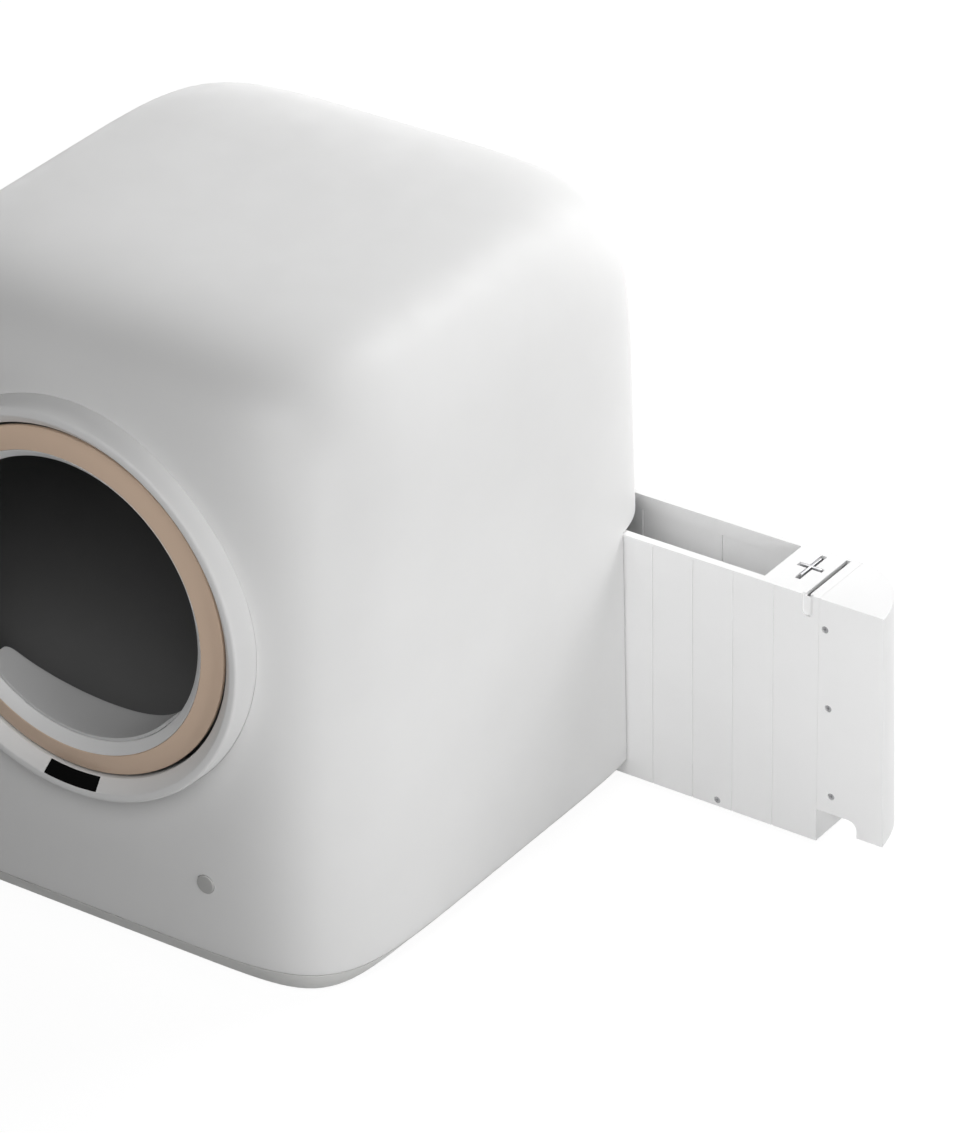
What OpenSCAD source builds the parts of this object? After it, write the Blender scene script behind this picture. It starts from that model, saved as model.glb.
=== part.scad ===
// Self-cleaning litter box: a rounded cube that holds a turning drum and a slim waste drawer.
// Lengths are in millimetres. X runs right, Y back and Z up, from the middle of the floor.

/* [Body] */
// Width of the casing at its seam
body_w = 478; // [474:1:500]
// Depth of the casing at its seam
body_d = 490; // [486:1:520]
// Height of the casing above the floor
body_h = 540; // [532:1:580]
// Thickness of the casing's wall
shell_wall = 3; // [2:0.5:3.5]
// Height of the seam between the base and the casing
seam_z = 20; // [18:1:24]
// Height of the base's underside above the floor
base_z = 3; // [2.5:0.5:4]
// Thickness of the base's floor
base_floor = 3; // [2.5:0.5:4]
// How far the base draws in below the seam
base_chamfer = 15; // [8:1:17]
// Height at which the casing's sides begin to curve in
dome_start_z = 297; // [250:1:320]
// Height of the drum's axis, the middle of the mouth
mouth_z = 303; // [300:1:310]

/* [Mouth] */
// Gap between the drum's neck and the collar's opening
neck_gap = 5.3; // [5:0.1:7]
// Width of the bevel inside the collar
bevel_w = 9.7; // [8:0.1:11]
// Width of the collar's crest
crest_w = 7; // [6:0.5:8]
// How far the collar's outside widens from its crest to the casing
flare_w = 1; // [0.5:0.1:3]
// Height of the collar's crest in front of the body
collar_proud = 15.7; // [14:0.1:20]
// Height of the bevel's inner edge in front of the body
bevel_proud = 6; // [4:0.5:8]
// Wall of the hollow collar
collar_wall = 2.5; // [2:0.5:3]
// Width of the flange that holds the collar behind the casing
collar_flange = 6; // [4:0.5:8]
// Angle that the display window spans on the bevel
window_span = 18.2; // [10:0.2:30]
// Gap round the coloured trim ring
ring_gap = 2.9; // [2:0.1:4]
// Width of the coloured trim ring
ring_w = 18.4; // [16:0.2:21]
// Height of the trim ring's inner edge in front of the body
ring_proud = 10; // [8:0.5:12]
// Height of the trim ring's outer edge in front of the body
ring_edge_proud = 5.3; // [4:0.1:7]
// Thickness of the trim ring
ring_t = 3; // [2:0.5:4]
// Width of the funnel inside the trim ring
funnel_w = 8.7; // [6:0.1:11]
// Depth of the funnel behind the trim ring
rim_depth = 23; // [18:1:30]
// Wall of the funnel and of the litter guard
rim_t = 2.5; // [2:0.5:3]
// Length of the litter guard from front to back
guard_len = 46; // [30:1:60]
// Angle that the litter guard spans
guard_span = 94; // [70:2:110]
// Radius of the guard's curved rear edge, seen from above
guard_edge_r = 191; // [150:1:300]
// Radius of the guard's corners
guard_corner_r = 10; // [4:1:14]

/* [Drum] */
// Gap from the outside of the casing to the drum
drum_gap = 34; // [32:0.5:36]
// Wall of the drum
drum_wall = 3; // [2:0.5:4]
// Height of the rounded shoulder between the neck and the drum's full radius
shoulder_h = 59; // [58:0.5:60]
// Distance from the body's front to the rear end of the neck
neck_back = 31; // [28:1:40]
// Length of the rounded shoulder behind the neck
shoulder_len = 74; // [60:1:90]
// Width of the two raceways that the rollers bear on
race_w = 20; // [16:1:24]
// Height of the raceways on the drum
race_h = 2; // [1:0.5:3]
// Width of the flanges where the two halves meet
split_flange = 6; // [6:0.5:8]
// Thickness of each of those flanges
split_t = 4; // [3:0.5:5]
// Outer radius of the waste outlet
outlet_r = 60; // [50:1:64]
// Distance from the outside of the drum to the sifting screen
screen_in = 75; // [55:1:100]
// Thickness of the sifting screen
screen_t = 3; // [2:0.5:4]
// Width of a slot in the screen
slot_w = 6; // [4:0.5:8]
// Distance from slot to slot
slot_pitch = 12; // [10:0.5:16]
// Number of slots beside each other
slot_count = 21; // [11:2:23]

/* [Drive] */
// Module of the teeth
gear_module = 4; // [4:0.1:4.1]
// Height of the toothed ring's pitch circle above the drum
gear_over = 5; // [4:0.5:7]
// Teeth on the pinion
pinion_teeth = 15; // [14:1:16]
// Width of the toothed ring
gear_w = 14; // [10:1:16]
// Play between the teeth on the pitch circle
backlash = 0.5; // [0.3:0.1:0.8]
// Angle below the level at which the pinion meets the ring
pinion_angle = 225; // [222:0.5:228]
// Radius of the gearbox's output shaft
shaft_r = 3; // [2.5:0.5:4]
// Radius of the gearbox
gearbox_r = 18.5; // [16:0.5:20]
// Length of the gearbox
gearbox_len = 24; // [18:1:30]
// Radius of the motor
motor_r = 17; // [14:0.5:18]
// Length of the motor
motor_len = 56; // [40:1:60]
// Radius of a roller
roller_r = 12; // [10:0.5:14]
// Width of a roller
roller_w = 14; // [10:1:16]
// Angle of the rollers to each side of the drum's lowest point
roller_angle = 30; // [26:1:36]
// Radius of a roller's pin
pin_r = 3; // [2:0.5:4]

/* [Drawer] */
// Width of the waste bin
bin_w = 65.5; // [60:0.5:68]
// Distance from the left side of the body to the end of the drawer when it is shut
bin_end_gap = 72; // [68:1:112]
// Length of the end cap, from the bin's end to the side of the body
cap_len = 66; // [60:1:70]
// Height of the bin's rim above the floor
bin_top_z = 232; // [225:1:236]
// Height of the bin's underside above the floor
bin_z = 4.8; // [4.8:0.1:5.5]
// Distance from the rear of the body to the bin's far wall
bin_inset = 11; // [10:0.5:14]
// How far the drawer is pulled out
drawer_out = 244; // [200:1:260]
// Wall of the bin
bin_wall = 3; // [2:0.5:3.5]
// Width of the bin's rim
bin_rim_w = 6.5; // [5:0.5:8]
// Length of the closed top beside the mouth of the bin
deck_len = 54.5; // [50:0.5:60]
// Distance from groove to groove on the bin's wall
panel_pitch = 38.2; // [30:0.1:45]
// Depth of those grooves
panel_groove = 0.8; // [0.5:0.1:1.2]
// Height of the finger notch below the cap
notch_h = 15; // [10:1:18]
// Length of the finger notch
notch_len = 38; // [30:1:42]
// Travel of the latch when it is pressed
latch_travel = 5; // [3:0.5:6]

/* [Controls and power] */
// Radius of the power button
button_r = 8; // [6:0.5:9]
// Distance of the button to the right of the middle
button_x = 116.3; // [100:0.1:130]
// Height of the button above the floor
button_z = 82.6; // [70:0.1:90]
// Travel of the button
button_travel = 1.5; // [1:0.1:1.6]
// Radius of the recess for the power plug
inlet_r = 3.2; // [3:0.1:4]
// Depth of the recess for the power plug
inlet_depth = 9.5; // [8:0.5:11]
// Radius of the inlet's centre pin
inlet_pin_r = 1.05; // [0.8:0.05:1.3]
// Radius of a foot
foot_r = 15; // [12:1:18]

/* [Fits] */
// Gap of a seat, and of the seams
seat_gap = 0.3; // [0.2:0.05:0.4]
// Gap round the drawer in its opening
slide_gap = 0.5; // [0.4:0.1:0.8]
// Radial clearance of a running fit
run_fit = 0.05; // [0.02:0.01:0.1]
// Radius of the screws' shanks
screw_r = 1.5; // [1.2:0.1:1.8]
// Radius of the screws' heads
screw_head_r = 2.8; // [2.4:0.1:3]
// Height of the screws' heads
screw_head_h = 1.2; // [1:0.1:1.6]

/* [Hidden] */

// One length that every cut runs past the face that it cuts
over = 1;

// Casing: plan power near the floor and at the top, power of the dome and draft of the sides
plan_power_low = 6.3;
plan_power_high = 5.2;
dome_power = 5.8;
draft_share = 0.006;
form_points = 72;
dome_step = 8;
dome_last = 86;
front_y = -body_d / 2;
rear_y = body_d / 2;

// Radii of the drum, and of the rings round its mouth from the neck outwards and inwards
drum_r = min(body_w, body_d) / 2 - drum_gap;
neck_r = drum_r - shoulder_h;
collar_inner_r = neck_r + neck_gap;
crest_inner_r = collar_inner_r + bevel_w;
crest_outer_r = crest_inner_r + crest_w;
collar_r = crest_outer_r + flare_w;
ring_outer_r = collar_inner_r - ring_gap;
ring_inner_r = ring_outer_r - ring_w;
entry_r = ring_inner_r - funnel_w;
screen_off = drum_r - screen_in;

// Drawer places, with the drawer pulled out and pushed in
bin_far_y = rear_y - bin_inset;
bin_near_y = bin_far_y - bin_w;
bin_len = body_w - cap_len - bin_end_gap;
bin_end_in_x = body_w / 2 - cap_len;
bin_end_x = bin_end_in_x + drawer_out;
bin_start_in_x = bin_end_in_x - bin_len;
bin_start_x = bin_end_x - bin_len;
mouth_end_x = bin_end_x - deck_len;
lip_over = 0.8;
lip_h = 2.6;
opening_gap = 1.5;
opening_top_z = bin_top_z + opening_gap;
bay_near_y = bin_near_y - lip_over - slide_gap;
bay_far_y = bin_far_y + slide_gap;
bin_chamfer_y = 16;
bin_chamfer_z = 12.4;
// Where the casing's rear wall ends beside the cap
cap_edge_in = 57;

// Display window: its middle angle, and its share of the bevel's width
window_angle = 90.3;
window_gap = 0.1;
window_low_share = 0.06;
window_high_share = 0.97;
window_gap_share = 0.01;

// Drum places along Y
floor_z = base_z + base_floor;
rail_t = 5;
bulkhead_t = 3;
bulkhead_back_y = bin_near_y - slide_gap - rail_t;
bulkhead_y = bulkhead_back_y - bulkhead_t;
drum_rear_gap = 14;
drum_rear_y = bulkhead_y - drum_rear_gap;
outlet_short = 1.5;
outlet_end_y = bulkhead_back_y - outlet_short;
gear_side_gap = 2;
gear_back_y = drum_rear_y - gear_side_gap;
gear_y = gear_back_y - gear_w;
step_len = 3;
neck_back_y = front_y + neck_back;
shoulder_y = neck_back_y + shoulder_len;
ring_slope_share = (ring_proud - ring_edge_proud) / (ring_outer_r - ring_inner_r);
neck_front_y = ring_y(neck_r) + ring_t + seat_gap;
race_r = drum_r + race_h;
split_r = drum_r + split_flange;
split_screws = 10;
drum_inner_r = drum_r - drum_wall;
shoulder_steps = 8;
scoop_len = 100;
scoop_fall = 7;
scoop_angle = -25;
screen_turn = 45;

// Collar: rounding of its crest, shares of its wall inside, and place of its rear edge
collar_round = 2;
collar_hollow_shares = [2, 1.4];
collar_back = 18;

// Gears
pressure_angle = 20;
addendum_share = 0.8;
dedendum_share = 1;
gear_rim = 16;
gear_teeth = floor(2 * (drum_r + gear_over) / gear_module);
gear_pitch_r = gear_module * gear_teeth / 2;
gear_seat_r = gear_pitch_r - gear_module * dedendum_share - gear_rim;
pinion_pitch_r = gear_module * pinion_teeth / 2;
gear_distance = gear_pitch_r + pinion_pitch_r;
pinion_x = gear_distance * cos(pinion_angle);
pinion_z = mouth_z + gear_distance * sin(pinion_angle);
pinion_side = 2;
pinion_y = gear_y - pinion_side;
pinion_len = gear_w + 2 * pinion_side;
flank_steps = 3;

// Motor and bracket
plate_t = 3;
bracket_gap = 5;
bracket_back_y = pinion_y - bracket_gap;
bracket_y = bracket_back_y - plate_t;
bracket_r = 24;
bracket_foot = 35;
boss_r = 6;
boss_h = 4;
gearbox_y = bracket_y - gearbox_len;
motor_y = gearbox_y - motor_len;
motor_pcd_r = 15.5;
shaft_in = 6;
shaft_y = gearbox_y + shaft_in;
shaft_end = 1.5;
motor_cap_h = 3;
terminal = [1, 6, 5];
terminal_off = 9;

// Rollers
roller_off = race_r + roller_r + seat_gap;
roller_x = roller_off * sin(roller_angle);
roller_z = mouth_z - roller_off * cos(roller_angle);
roller_front_off = 25;
roller_back_off = 35;
roller_front_y = shoulder_y + roller_front_off;
roller_back_y = gear_y - roller_back_off;
cheek_t = 3;
cheek_gap = 0.5;
cheek_r = 9;
cheek_foot = 27;
bracket_web = 16;
pin_head_r = 4.5;
pin_head_h = 1.5;

// Drawer details
deck_t = 3;
rim_groove_w = 4;
rim_groove_h = 3;
rim_groove_off = 11;
u_slot_w = 10;
u_slot_h = 20.3;
band_h = 13.5;
band_t = 1.5;
panel_line_w = 1.2;
first_panel_off = 41.8;
far_rib_t = 1.5;
far_rib_w = 2;
chamber_z = 38;
latch_block = [34, 34];
blade_t = 2;
blade_w = 30;
blade_arm = 20;
blade_h = 14;
blade_proud = 1;
pocket_gap_x = 1.6;
pocket_gap_y = 5.5;
latch_off = [31, 37.5];
latch_y = bin_near_y + latch_off.y;
latch_x = bin_end_x - latch_off.x;
spring_hole_r = 4;
latch_spring_r = 3;
latch_spring_h = 16;
latch_spring_turns = 6;
tongue_len = 19;
tongue_t = 3;
tongue_root = 12;
screw_wall = 1;
cap_screw_off = [5.8, 9.7, 13.7];
cap_screw_down = [27, 99, 180.7];
lone_screw_off = 94.5;
lone_screw_up = 5.5;
lone_boss = [11, 6.5, 10];
notch_corner_r = 8;
screw_len = 9;

// Waste way
chute_r = 78;
chute_wall = 2.5;
chute_short = 4;
chute_back_y = bin_far_y - chute_short;
chute_gap = 2.5;
chute_z = opening_top_z + chute_gap;
seal_w = 6;
seal_gap = 0.4;
bulkhead_hole_r = outlet_r + seal_gap + seal_w;
bulkhead_side_gap = 17;
bulkhead_top_gap = 70;
bulkhead_w = body_w - 2 * bulkhead_side_gap;
bulkhead_top_z = body_h - bulkhead_top_gap;
bulkhead_corner_r = 60;
bulkhead_foot = 8;
rail_h = 6;
rail_low_z = 30;
rail_high_z = 200;
far_rail_len = 200;
far_rail_t = 5.7;

// Boards, button and inlet
board_t = 1.6;
board_in = 20;
board_y = front_y + board_in;
board_w = 80;
board_left_share = 0.76;
board_top_z = 100;
chip_h = 2;
chip_shares = [[0.2, 0.2], [0.5, 0.5]];
box_h = 8;
box_shares = [[0.6, 0.25], [0.9, 0.45]];
switch_size = 12;
switch_t = 4;
plunger_r = 2;
plunger_h = 1.5;
button_proud = 0.3;
button_crown = [0.3, 0.2];
button_crown_share = 0.6;
button_edge = 0.8;
button_hole_gap = 0.3;
button_flange = 1.6;
button_flange_t = 1.5;
button_stem_r = 3;
button_stop = 1.6;
button_flange_y = front_y + shell_wall + button_stop;
button_spring_r = 4.5;
button_spring_turns = 4;
wire_r = 0.4;
inlet_in = 115;
inlet_y = rear_y - inlet_in;
inlet_z = 42;
inlet_body_r = 6;
inlet_flange_r = 9;
inlet_flange_t = 1.5;
inlet_len = 16;
inlet_pin_len = 8.5;

// Base, feet and screws
foot_side_in = 58;
foot_front_in = 60;
foot_rear_in = 22;
foot_x = body_w / 2 - foot_side_in;
foot_front_y = front_y + foot_front_in;
foot_rear_y = bulkhead_y - foot_rear_in;
foot_h = 2.5;
foot_stem_r = 6;
cell = [44, 24, 6];
cell_pad = 1;
cell_slot = 2.5;
cell_slot_off = 9;
rim_up = 6;
column_r = 6;
column_side_in = [25, 140];
column_front_in = [74, 26];
column_side_x = body_w / 2 - column_side_in.x;
column_side_y = rear_y - column_side_in.y;
column_front_x = body_w / 2 - column_front_in.x;
column_front_y = front_y + column_front_in.y;
boss_up = 28;
web_t = 3;
head_room = 4;
arc_fn = 96;
small_fn = 32;

function ring_y(r) = front_y - ring_proud + (r - ring_inner_r) * ring_slope_share;
function arc(c, r, a, b, n) = [for (i = [0:n]) c + r * [cos(a + (b - a) * i / n), sin(a + (b - a) * i / n)]];

// One level of the body's form: a superellipse whose power falls and whose size shrinks with height
function rise(z, top) = z <= dome_start_z ? 1
    : pow(1 - pow((z - dome_start_z) / (top - dome_start_z), dome_power), 1 / dome_power);
function half(size, z, inset, top) = (size / 2 - inset - draft_share * max(z - seam_z, 0)) * rise(z, top);
function power_at(z) = plan_power_low + (plan_power_high - plan_power_low) * z / body_h;
function bend(v, p) = sign(v) * pow(abs(v), 2 / p);
function ring(z, inset, top) = [for (i = [0:form_points - 1])
    let (a = 360 * i / form_points, p = power_at(z))
    [half(body_w, z, inset, top) * bend(cos(a), p), half(body_d, z, inset, top) * bend(sin(a), p), z]];

// Heights of the casing's levels, closer where the dome curves more
function dome_z(t, top) = dome_start_z + (top - dome_start_z) * pow(sin(t), 2 / dome_power);
function levels(z, top) = concat([z, (z + dome_start_z) / 2, dome_start_z],
    [for (t = [dome_step:dome_step:dome_last - 1]) dome_z(t, top)], [dome_z(dome_last, top)]);

// A closed skin over rings of points, with a middle point at each end
module loft(rings, low, high) {
    n = len(rings[0]);
    m = len(rings);
    sides = [for (j = [0:m - 2], i = [0:n - 1], k = [0, 1])
        let (a = j * n + i, b = j * n + (i + 1) % n, c = a + n, d = b + n)
        k == 0 ? [a, c, b] : [b, c, d]];
    ends = [for (i = [0:n - 1], k = [0, 1])
        let (b = (i + 1) % n, t = (m - 1) * n)
        k == 0 ? [i, b, m * n] : [t + b, t + i, m * n + 1]];
    polyhedron(concat([for (r = rings) each r], [low, high]), concat(sides, ends));
}
module body_form(z, inset) {
    top = body_h - inset;
    loft([for (h = levels(z, top)) ring(h, inset, top)], [0, 0, z], [0, 0, top]);
}
module straight_form(z, inset_low, high, inset_high) {
    loft([ring(z, inset_low, body_h), ring(high, inset_high, body_h)], [0, 0, z], [0, 0, high]);
}

// Turned about the drum's axis: points are radius and Y, and angles run from +X downwards
module lathe(start = 0, turn = 360) {
    translate([0, 0, mouth_z]) rotate([-90, 0, 0]) rotate([0, 0, start])
        rotate_extrude(angle = turn, $fn = arc_fn) children();
}
// Turned about an axis along Y through a point
module spindle(x, z) {
    translate([x, 0, z]) rotate([-90, 0, 0]) rotate_extrude($fn = small_fn) children();
}
// A round bar along Y
module bar_y(x, y, z, r, l, faces = small_fn) {
    translate([x, y, z]) rotate([-90, 0, 0]) cylinder(r = r, h = l, $fn = faces);
}
// An outline in X and Z, drawn out along Y
module plate_y(y, t) {
    translate([0, y + t, 0]) rotate([90, 0, 0]) linear_extrude(t) children();
}
module block(low, high) {
    translate(low) cube(high - low);
}
module coil(turns, coil_r, high, wire) {
    steps = 14;
    sides = 6;
    count = turns * steps;
    rings = [for (i = [0:count])
        let (a = 360 * i / steps, c = coil_r, z = wire + (high - 2 * wire) * i / count)
        [for (k = [0:sides - 1])
            let (b = 360 * k / sides, q = c + wire * cos(b)) [q * cos(a), q * sin(a), z + wire * sin(b)]]];
    loft(rings, [coil_r, 0, wire], [coil_r * cos(360 * turns), coil_r * sin(360 * turns), high - wire]);
}

// Body
module drawer_bay(x, top) {
    translate([x, 0, 0]) rotate([90, 0, 90]) linear_extrude(body_w) polygon([
        [bay_near_y, bin_z - seat_gap], [bay_far_y - bin_chamfer_y, bin_z - seat_gap],
        [bay_far_y, bin_z + bin_chamfer_z], [bay_far_y, top], [bay_near_y, top]]);
}
module column_places() {
    for (s = [-1, 1]) {
        for (t = [-1, 1]) translate([s * column_side_x, t * column_side_y, 0]) children();
        translate([s * column_front_x, column_front_y, 0]) children();
    }
}
module outer_shell() color([0.93, 0.93, 0.92]) {
    difference() {
        body_form(seam_z, 0);
        body_form(seam_z - over, shell_wall);
        bar_y(0, front_y - over, mouth_z, collar_r + seat_gap, neck_back, arc_fn);
        bar_y(button_x, front_y - over, button_z, button_r + button_hole_gap, board_y - front_y);
        drawer_bay(0, opening_top_z);
        block([body_w / 2 - cap_edge_in, bay_near_y, seam_z - over], [body_w, body_d, opening_top_z]);
        translate([-body_w, inlet_y, inlet_z]) rotate([0, 90, 0])
            cylinder(r = inlet_body_r + seat_gap, h = body_w, $fn = small_fn);
    }
    // Screw bosses with webs to the wall
    difference() {
        intersection() {
            union() {
                column_places() translate([0, 0, seam_z]) cylinder(r = column_r, h = boss_up, $fn = small_fn);
                for (low_x = [-body_w / 2, column_side_x], t = [-1, 1])
                    translate([low_x, t * column_side_y - web_t / 2, seam_z])
                        cube([body_w / 2 - column_side_x, web_t, boss_up]);
                for (s = [-1, 1])
                    block([s * column_front_x - web_t / 2, front_y, seam_z],
                        [s * column_front_x + web_t / 2, column_front_y, seam_z + boss_up]);
            }
            straight_form(seam_z, shell_wall / 2, seam_z + boss_up, shell_wall / 2);
        }
        column_places() translate([0, 0, seam_z - over])
            cylinder(r = screw_r + run_fit, h = boss_up - web_t, $fn = small_fn);
    }
}
module base_plate() color([0.9, 0.9, 0.9]) {
    top = seam_z - seat_gap;
    rim_in = shell_wall + seat_gap;
    difference() {
        union() {
            difference() {
                straight_form(base_z, base_chamfer, top, 0);
                straight_form(floor_z, base_chamfer + rim_t, top + over, rim_in + rim_t);
            }
            // Upstand that centres the casing
            difference() {
                straight_form(top - over, rim_in, seam_z + rim_up, rim_in);
                straight_form(top - 2 * over, rim_in + rim_t, seam_z + rim_up + over, rim_in + rim_t);
                for (s = [-1, 1], t = [-1, 1])
                    block([s * body_w / 2 - boss_up, t * column_side_y - web_t, top],
                        [s * body_w / 2 + boss_up, t * column_side_y + web_t, seam_z + boss_up]);
                for (s = [-1, 1])
                    block([s * column_front_x - web_t, front_y - over, top],
                        [s * column_front_x + web_t, column_front_y, seam_z + boss_up]);
            }
            column_places() translate([0, 0, base_z])
                cylinder(r = column_r, h = top - base_z, $fn = small_fn);
            cell_places() translate([0, 0, floor_z - over / 2]) {
                for (s = [-1, 1]) translate([s * (cell.x - cell_pad) / 2 - 2 * cell_pad, -cell.y / 2, 0])
                    cube([4 * cell_pad, cell.y, cell_pad + over / 2]);
            }
        }
        drawer_bay(bin_start_in_x - base_floor, body_h);
        column_places() {
            translate([0, 0, base_z - over]) cylinder(r = screw_r + run_fit, h = seam_z, $fn = small_fn);
            translate([0, 0, base_z - over])
                cylinder(r = screw_head_r + seat_gap, h = over + head_room, $fn = small_fn);
        }
        cell_places() translate([0, 0, base_z - over])
            cylinder(r = foot_stem_r + seat_gap, h = seam_z, $fn = small_fn);
    }
}
module cell_places() {
    for (s = [-1, 1], y = [foot_front_y, foot_rear_y]) translate([s * foot_x, y, 0]) children();
}
module load_cells() color([0.75, 0.76, 0.78]) {
    cell_places() difference() {
        translate([-cell.x / 2, -cell.y / 2, floor_z + cell_pad]) cube(cell);
        for (t = [-1, 1]) translate([-cell.x / 2 + cell_pad * 4, t * cell_slot_off - cell_slot / 2, floor_z])
            cube([cell.x - cell_pad * 8, cell_slot, seam_z]);
    }
}
module feet() color([0.2, 0.2, 0.2]) {
    cell_places() rotate_extrude($fn = small_fn * 2) polygon([[0, 0], [foot_r - over, 0], [foot_r, over],
        [foot_r, foot_h], [foot_stem_r, foot_h], [foot_stem_r, floor_z + cell_pad],
        [0, floor_z + cell_pad]]);
}
module shell_screws() color([0.6, 0.6, 0.62]) {
    column_places() translate([0, 0, base_z + head_room - screw_head_h - over]) {
        cylinder(r = screw_head_r, h = screw_head_h + over, $fn = small_fn);
        cylinder(r = screw_r, h = seam_z + boss_up / 2, $fn = small_fn);
    }
}

// Mouth
function bevel_in(t) = [collar_inner_r + t * (crest_inner_r - collar_inner_r),
    front_y - bevel_proud - t * (collar_proud - bevel_proud)];
module bevel_strip(from_share, to_share, t, sink) {
    a = bevel_in(from_share);
    b = bevel_in(to_share);
    n = [b.y - a.y, a.x - b.x] / norm(b - a);
    polygon([a - sink * n, b - sink * n, b - (sink + t) * n, a - (sink + t) * n]);
}
module window_cut(grow) {
    lathe(start = window_angle - window_span / 2 - grow, turn = window_span + 2 * grow)
        bevel_strip(window_low_share, window_high_share, 2 * collar_wall + over, -over);
}
module front_collar() color([0.94, 0.94, 0.93]) {
    crest_y = front_y - collar_proud;
    r = collar_round;
    wall = collar_wall;
    back_y = front_y + collar_back;
    difference() {
        lathe() polygon(concat(
            [[collar_inner_r, back_y], bevel_in(0), bevel_in(1) - [r, -r] / 2],
            arc([crest_inner_r + r / 2, crest_y + r], r, 240, 270, 2),
            arc([crest_outer_r - 2 * r, crest_y + 2 * r], 2 * r, 270, 360, 6),
            [[collar_r, front_y + r / 2], [collar_r, back_y], [collar_r + collar_flange, back_y],
                [collar_r + collar_flange, back_y + wall], [collar_r - wall, back_y + wall],
                [collar_r - wall, front_y - r],
                [crest_outer_r - wall, crest_y + collar_hollow_shares.x * wall],
                [crest_inner_r + wall / 2, crest_y + collar_hollow_shares.y * wall],
                [collar_inner_r + wall, front_y - bevel_proud + wall], [collar_inner_r + wall, back_y]]));
        window_cut(window_gap);
    }
}
module display_window() color([0.03, 0.03, 0.03]) {
    low = window_low_share + window_gap_share;
    high = window_high_share - window_gap_share;
    lathe(start = window_angle - window_span / 2, turn = window_span)
        bevel_strip(low, high, collar_wall / 2, 0);
}
module display_board() color([0.1, 0.35, 0.2]) {
    lathe(start = window_angle - window_span / 2 + window_gap, turn = window_span - 2 * window_gap)
        bevel_strip(2 * window_low_share, 1 - 2 * window_low_share, board_t, collar_wall / 2 + seat_gap);
}
module trim_ring() color([0.76, 0.67, 0.6]) {
    lathe() polygon([[ring_inner_r, ring_y(ring_inner_r)], [ring_outer_r, ring_y(ring_outer_r)],
        [ring_outer_r, ring_y(ring_outer_r) + ring_t], [ring_inner_r, ring_y(ring_inner_r) + ring_t]]);
}
module mouth_rim() color([0.92, 0.92, 0.91]) {
    edge_r = ring_inner_r - seat_gap;
    lip_y = ring_y(ring_inner_r);
    throat_y = front_y - bevel_proud / 3;
    end_y = front_y - ring_proud + rim_depth;
    seat_r = neck_r - drum_wall - seat_gap;
    lathe() polygon([[edge_r, lip_y], [entry_r + rim_t, throat_y - rim_t], [entry_r, throat_y],
        [entry_r, end_y], [seat_r, end_y], [seat_r, end_y - rim_t], [entry_r + rim_t, end_y - rim_t],
        [entry_r + rim_t, throat_y + rim_t], [edge_r, lip_y + ring_t]]);
}
module litter_guard() color([0.62, 0.62, 0.62]) {
    outer_r = entry_r - seat_gap;
    front = front_y - bevel_proud / 3;
    rear = front + guard_len;
    half_x = outer_r * sin(guard_span / 2);
    big = [0, rear - guard_edge_r];
    corner = [half_x - guard_corner_r,
        big.y + sqrt(pow(guard_edge_r - guard_corner_r, 2) - pow(half_x - guard_corner_r, 2))];
    a = atan2(corner.y - big.y, corner.x);
    intersection() {
        lathe() polygon([[outer_r - rim_t, front], [outer_r, front], [outer_r, rear + over],
            [outer_r - rim_t, rear + over]]);
        translate([0, 0, mouth_z - entry_r - over]) linear_extrude(entry_r)
            polygon(concat([[-half_x, front - over], [half_x, front - over]],
                arc(corner, guard_corner_r, 0, a, 4), arc(big, guard_edge_r, a, 180 - a, 16),
                arc([-corner.x, corner.y], guard_corner_r, 180 - a, 180, 4)));
    }
}

// Drum
function shoulder(in) = [for (i = [0:shoulder_steps])
    let (t = 90 * i / shoulder_steps)
    [neck_r - in + (drum_r - neck_r) * sin(t), shoulder_y - (shoulder_len - in) * cos(t)]];
function race(y) = [[drum_r, y - race_w / 2 - race_h], [race_r, y - race_w / 2], [race_r, y + race_w / 2],
    [drum_r, y + race_w / 2 + race_h]];
module split_holes(r, y, l) {
    for (i = [0:split_screws - 1]) {
        a = 360 * (i + 0.5) / split_screws;
        bar_y((drum_r + split_flange / 2) * cos(a), y, mouth_z + (drum_r + split_flange / 2) * sin(a), r, l);
    }
}
module drum_front_shell() color([0.2, 0.2, 0.2]) {
    inner = shoulder(drum_wall);
    difference() {
        lathe() polygon(concat([[neck_r, neck_front_y]], shoulder(0), race(roller_front_y),
            [[drum_r, -split_t], [split_r, -split_t], [split_r, 0], [drum_inner_r, 0]],
            [for (i = [len(inner) - 1:-1:0]) inner[i]], [[neck_r - drum_wall, neck_front_y]]));
        split_holes(screw_r + run_fit, -split_t - over, split_t + 2 * over);
    }
}
module drum_rear_shell() color([0.2, 0.2, 0.2]) {
    step_y = gear_y - step_len;
    difference() {
        lathe() polygon(concat([[drum_inner_r, 0], [split_r, 0], [split_r, split_t], [drum_r, split_t]],
            race(roller_back_y),
            [[drum_r, step_y - step_len], [gear_seat_r, step_y], [gear_seat_r, drum_rear_y],
                [outlet_r, drum_rear_y], [outlet_r, outlet_end_y], [outlet_r - drum_wall, outlet_end_y],
                [outlet_r - drum_wall, drum_rear_y - drum_wall],
                [gear_seat_r - drum_wall, drum_rear_y - drum_wall],
                [gear_seat_r - drum_wall, step_y - drum_wall],
                [drum_inner_r, step_y - step_len - drum_wall / 2]]));
        split_holes(screw_r + run_fit, -over, split_t + 2 * over);
    }
}
module drum_screws() color([0.6, 0.6, 0.62]) {
    split_holes(screw_r, -split_t, 2 * split_t);
    split_holes(screw_head_r, -split_t - screw_head_h, screw_head_h);
}

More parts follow.
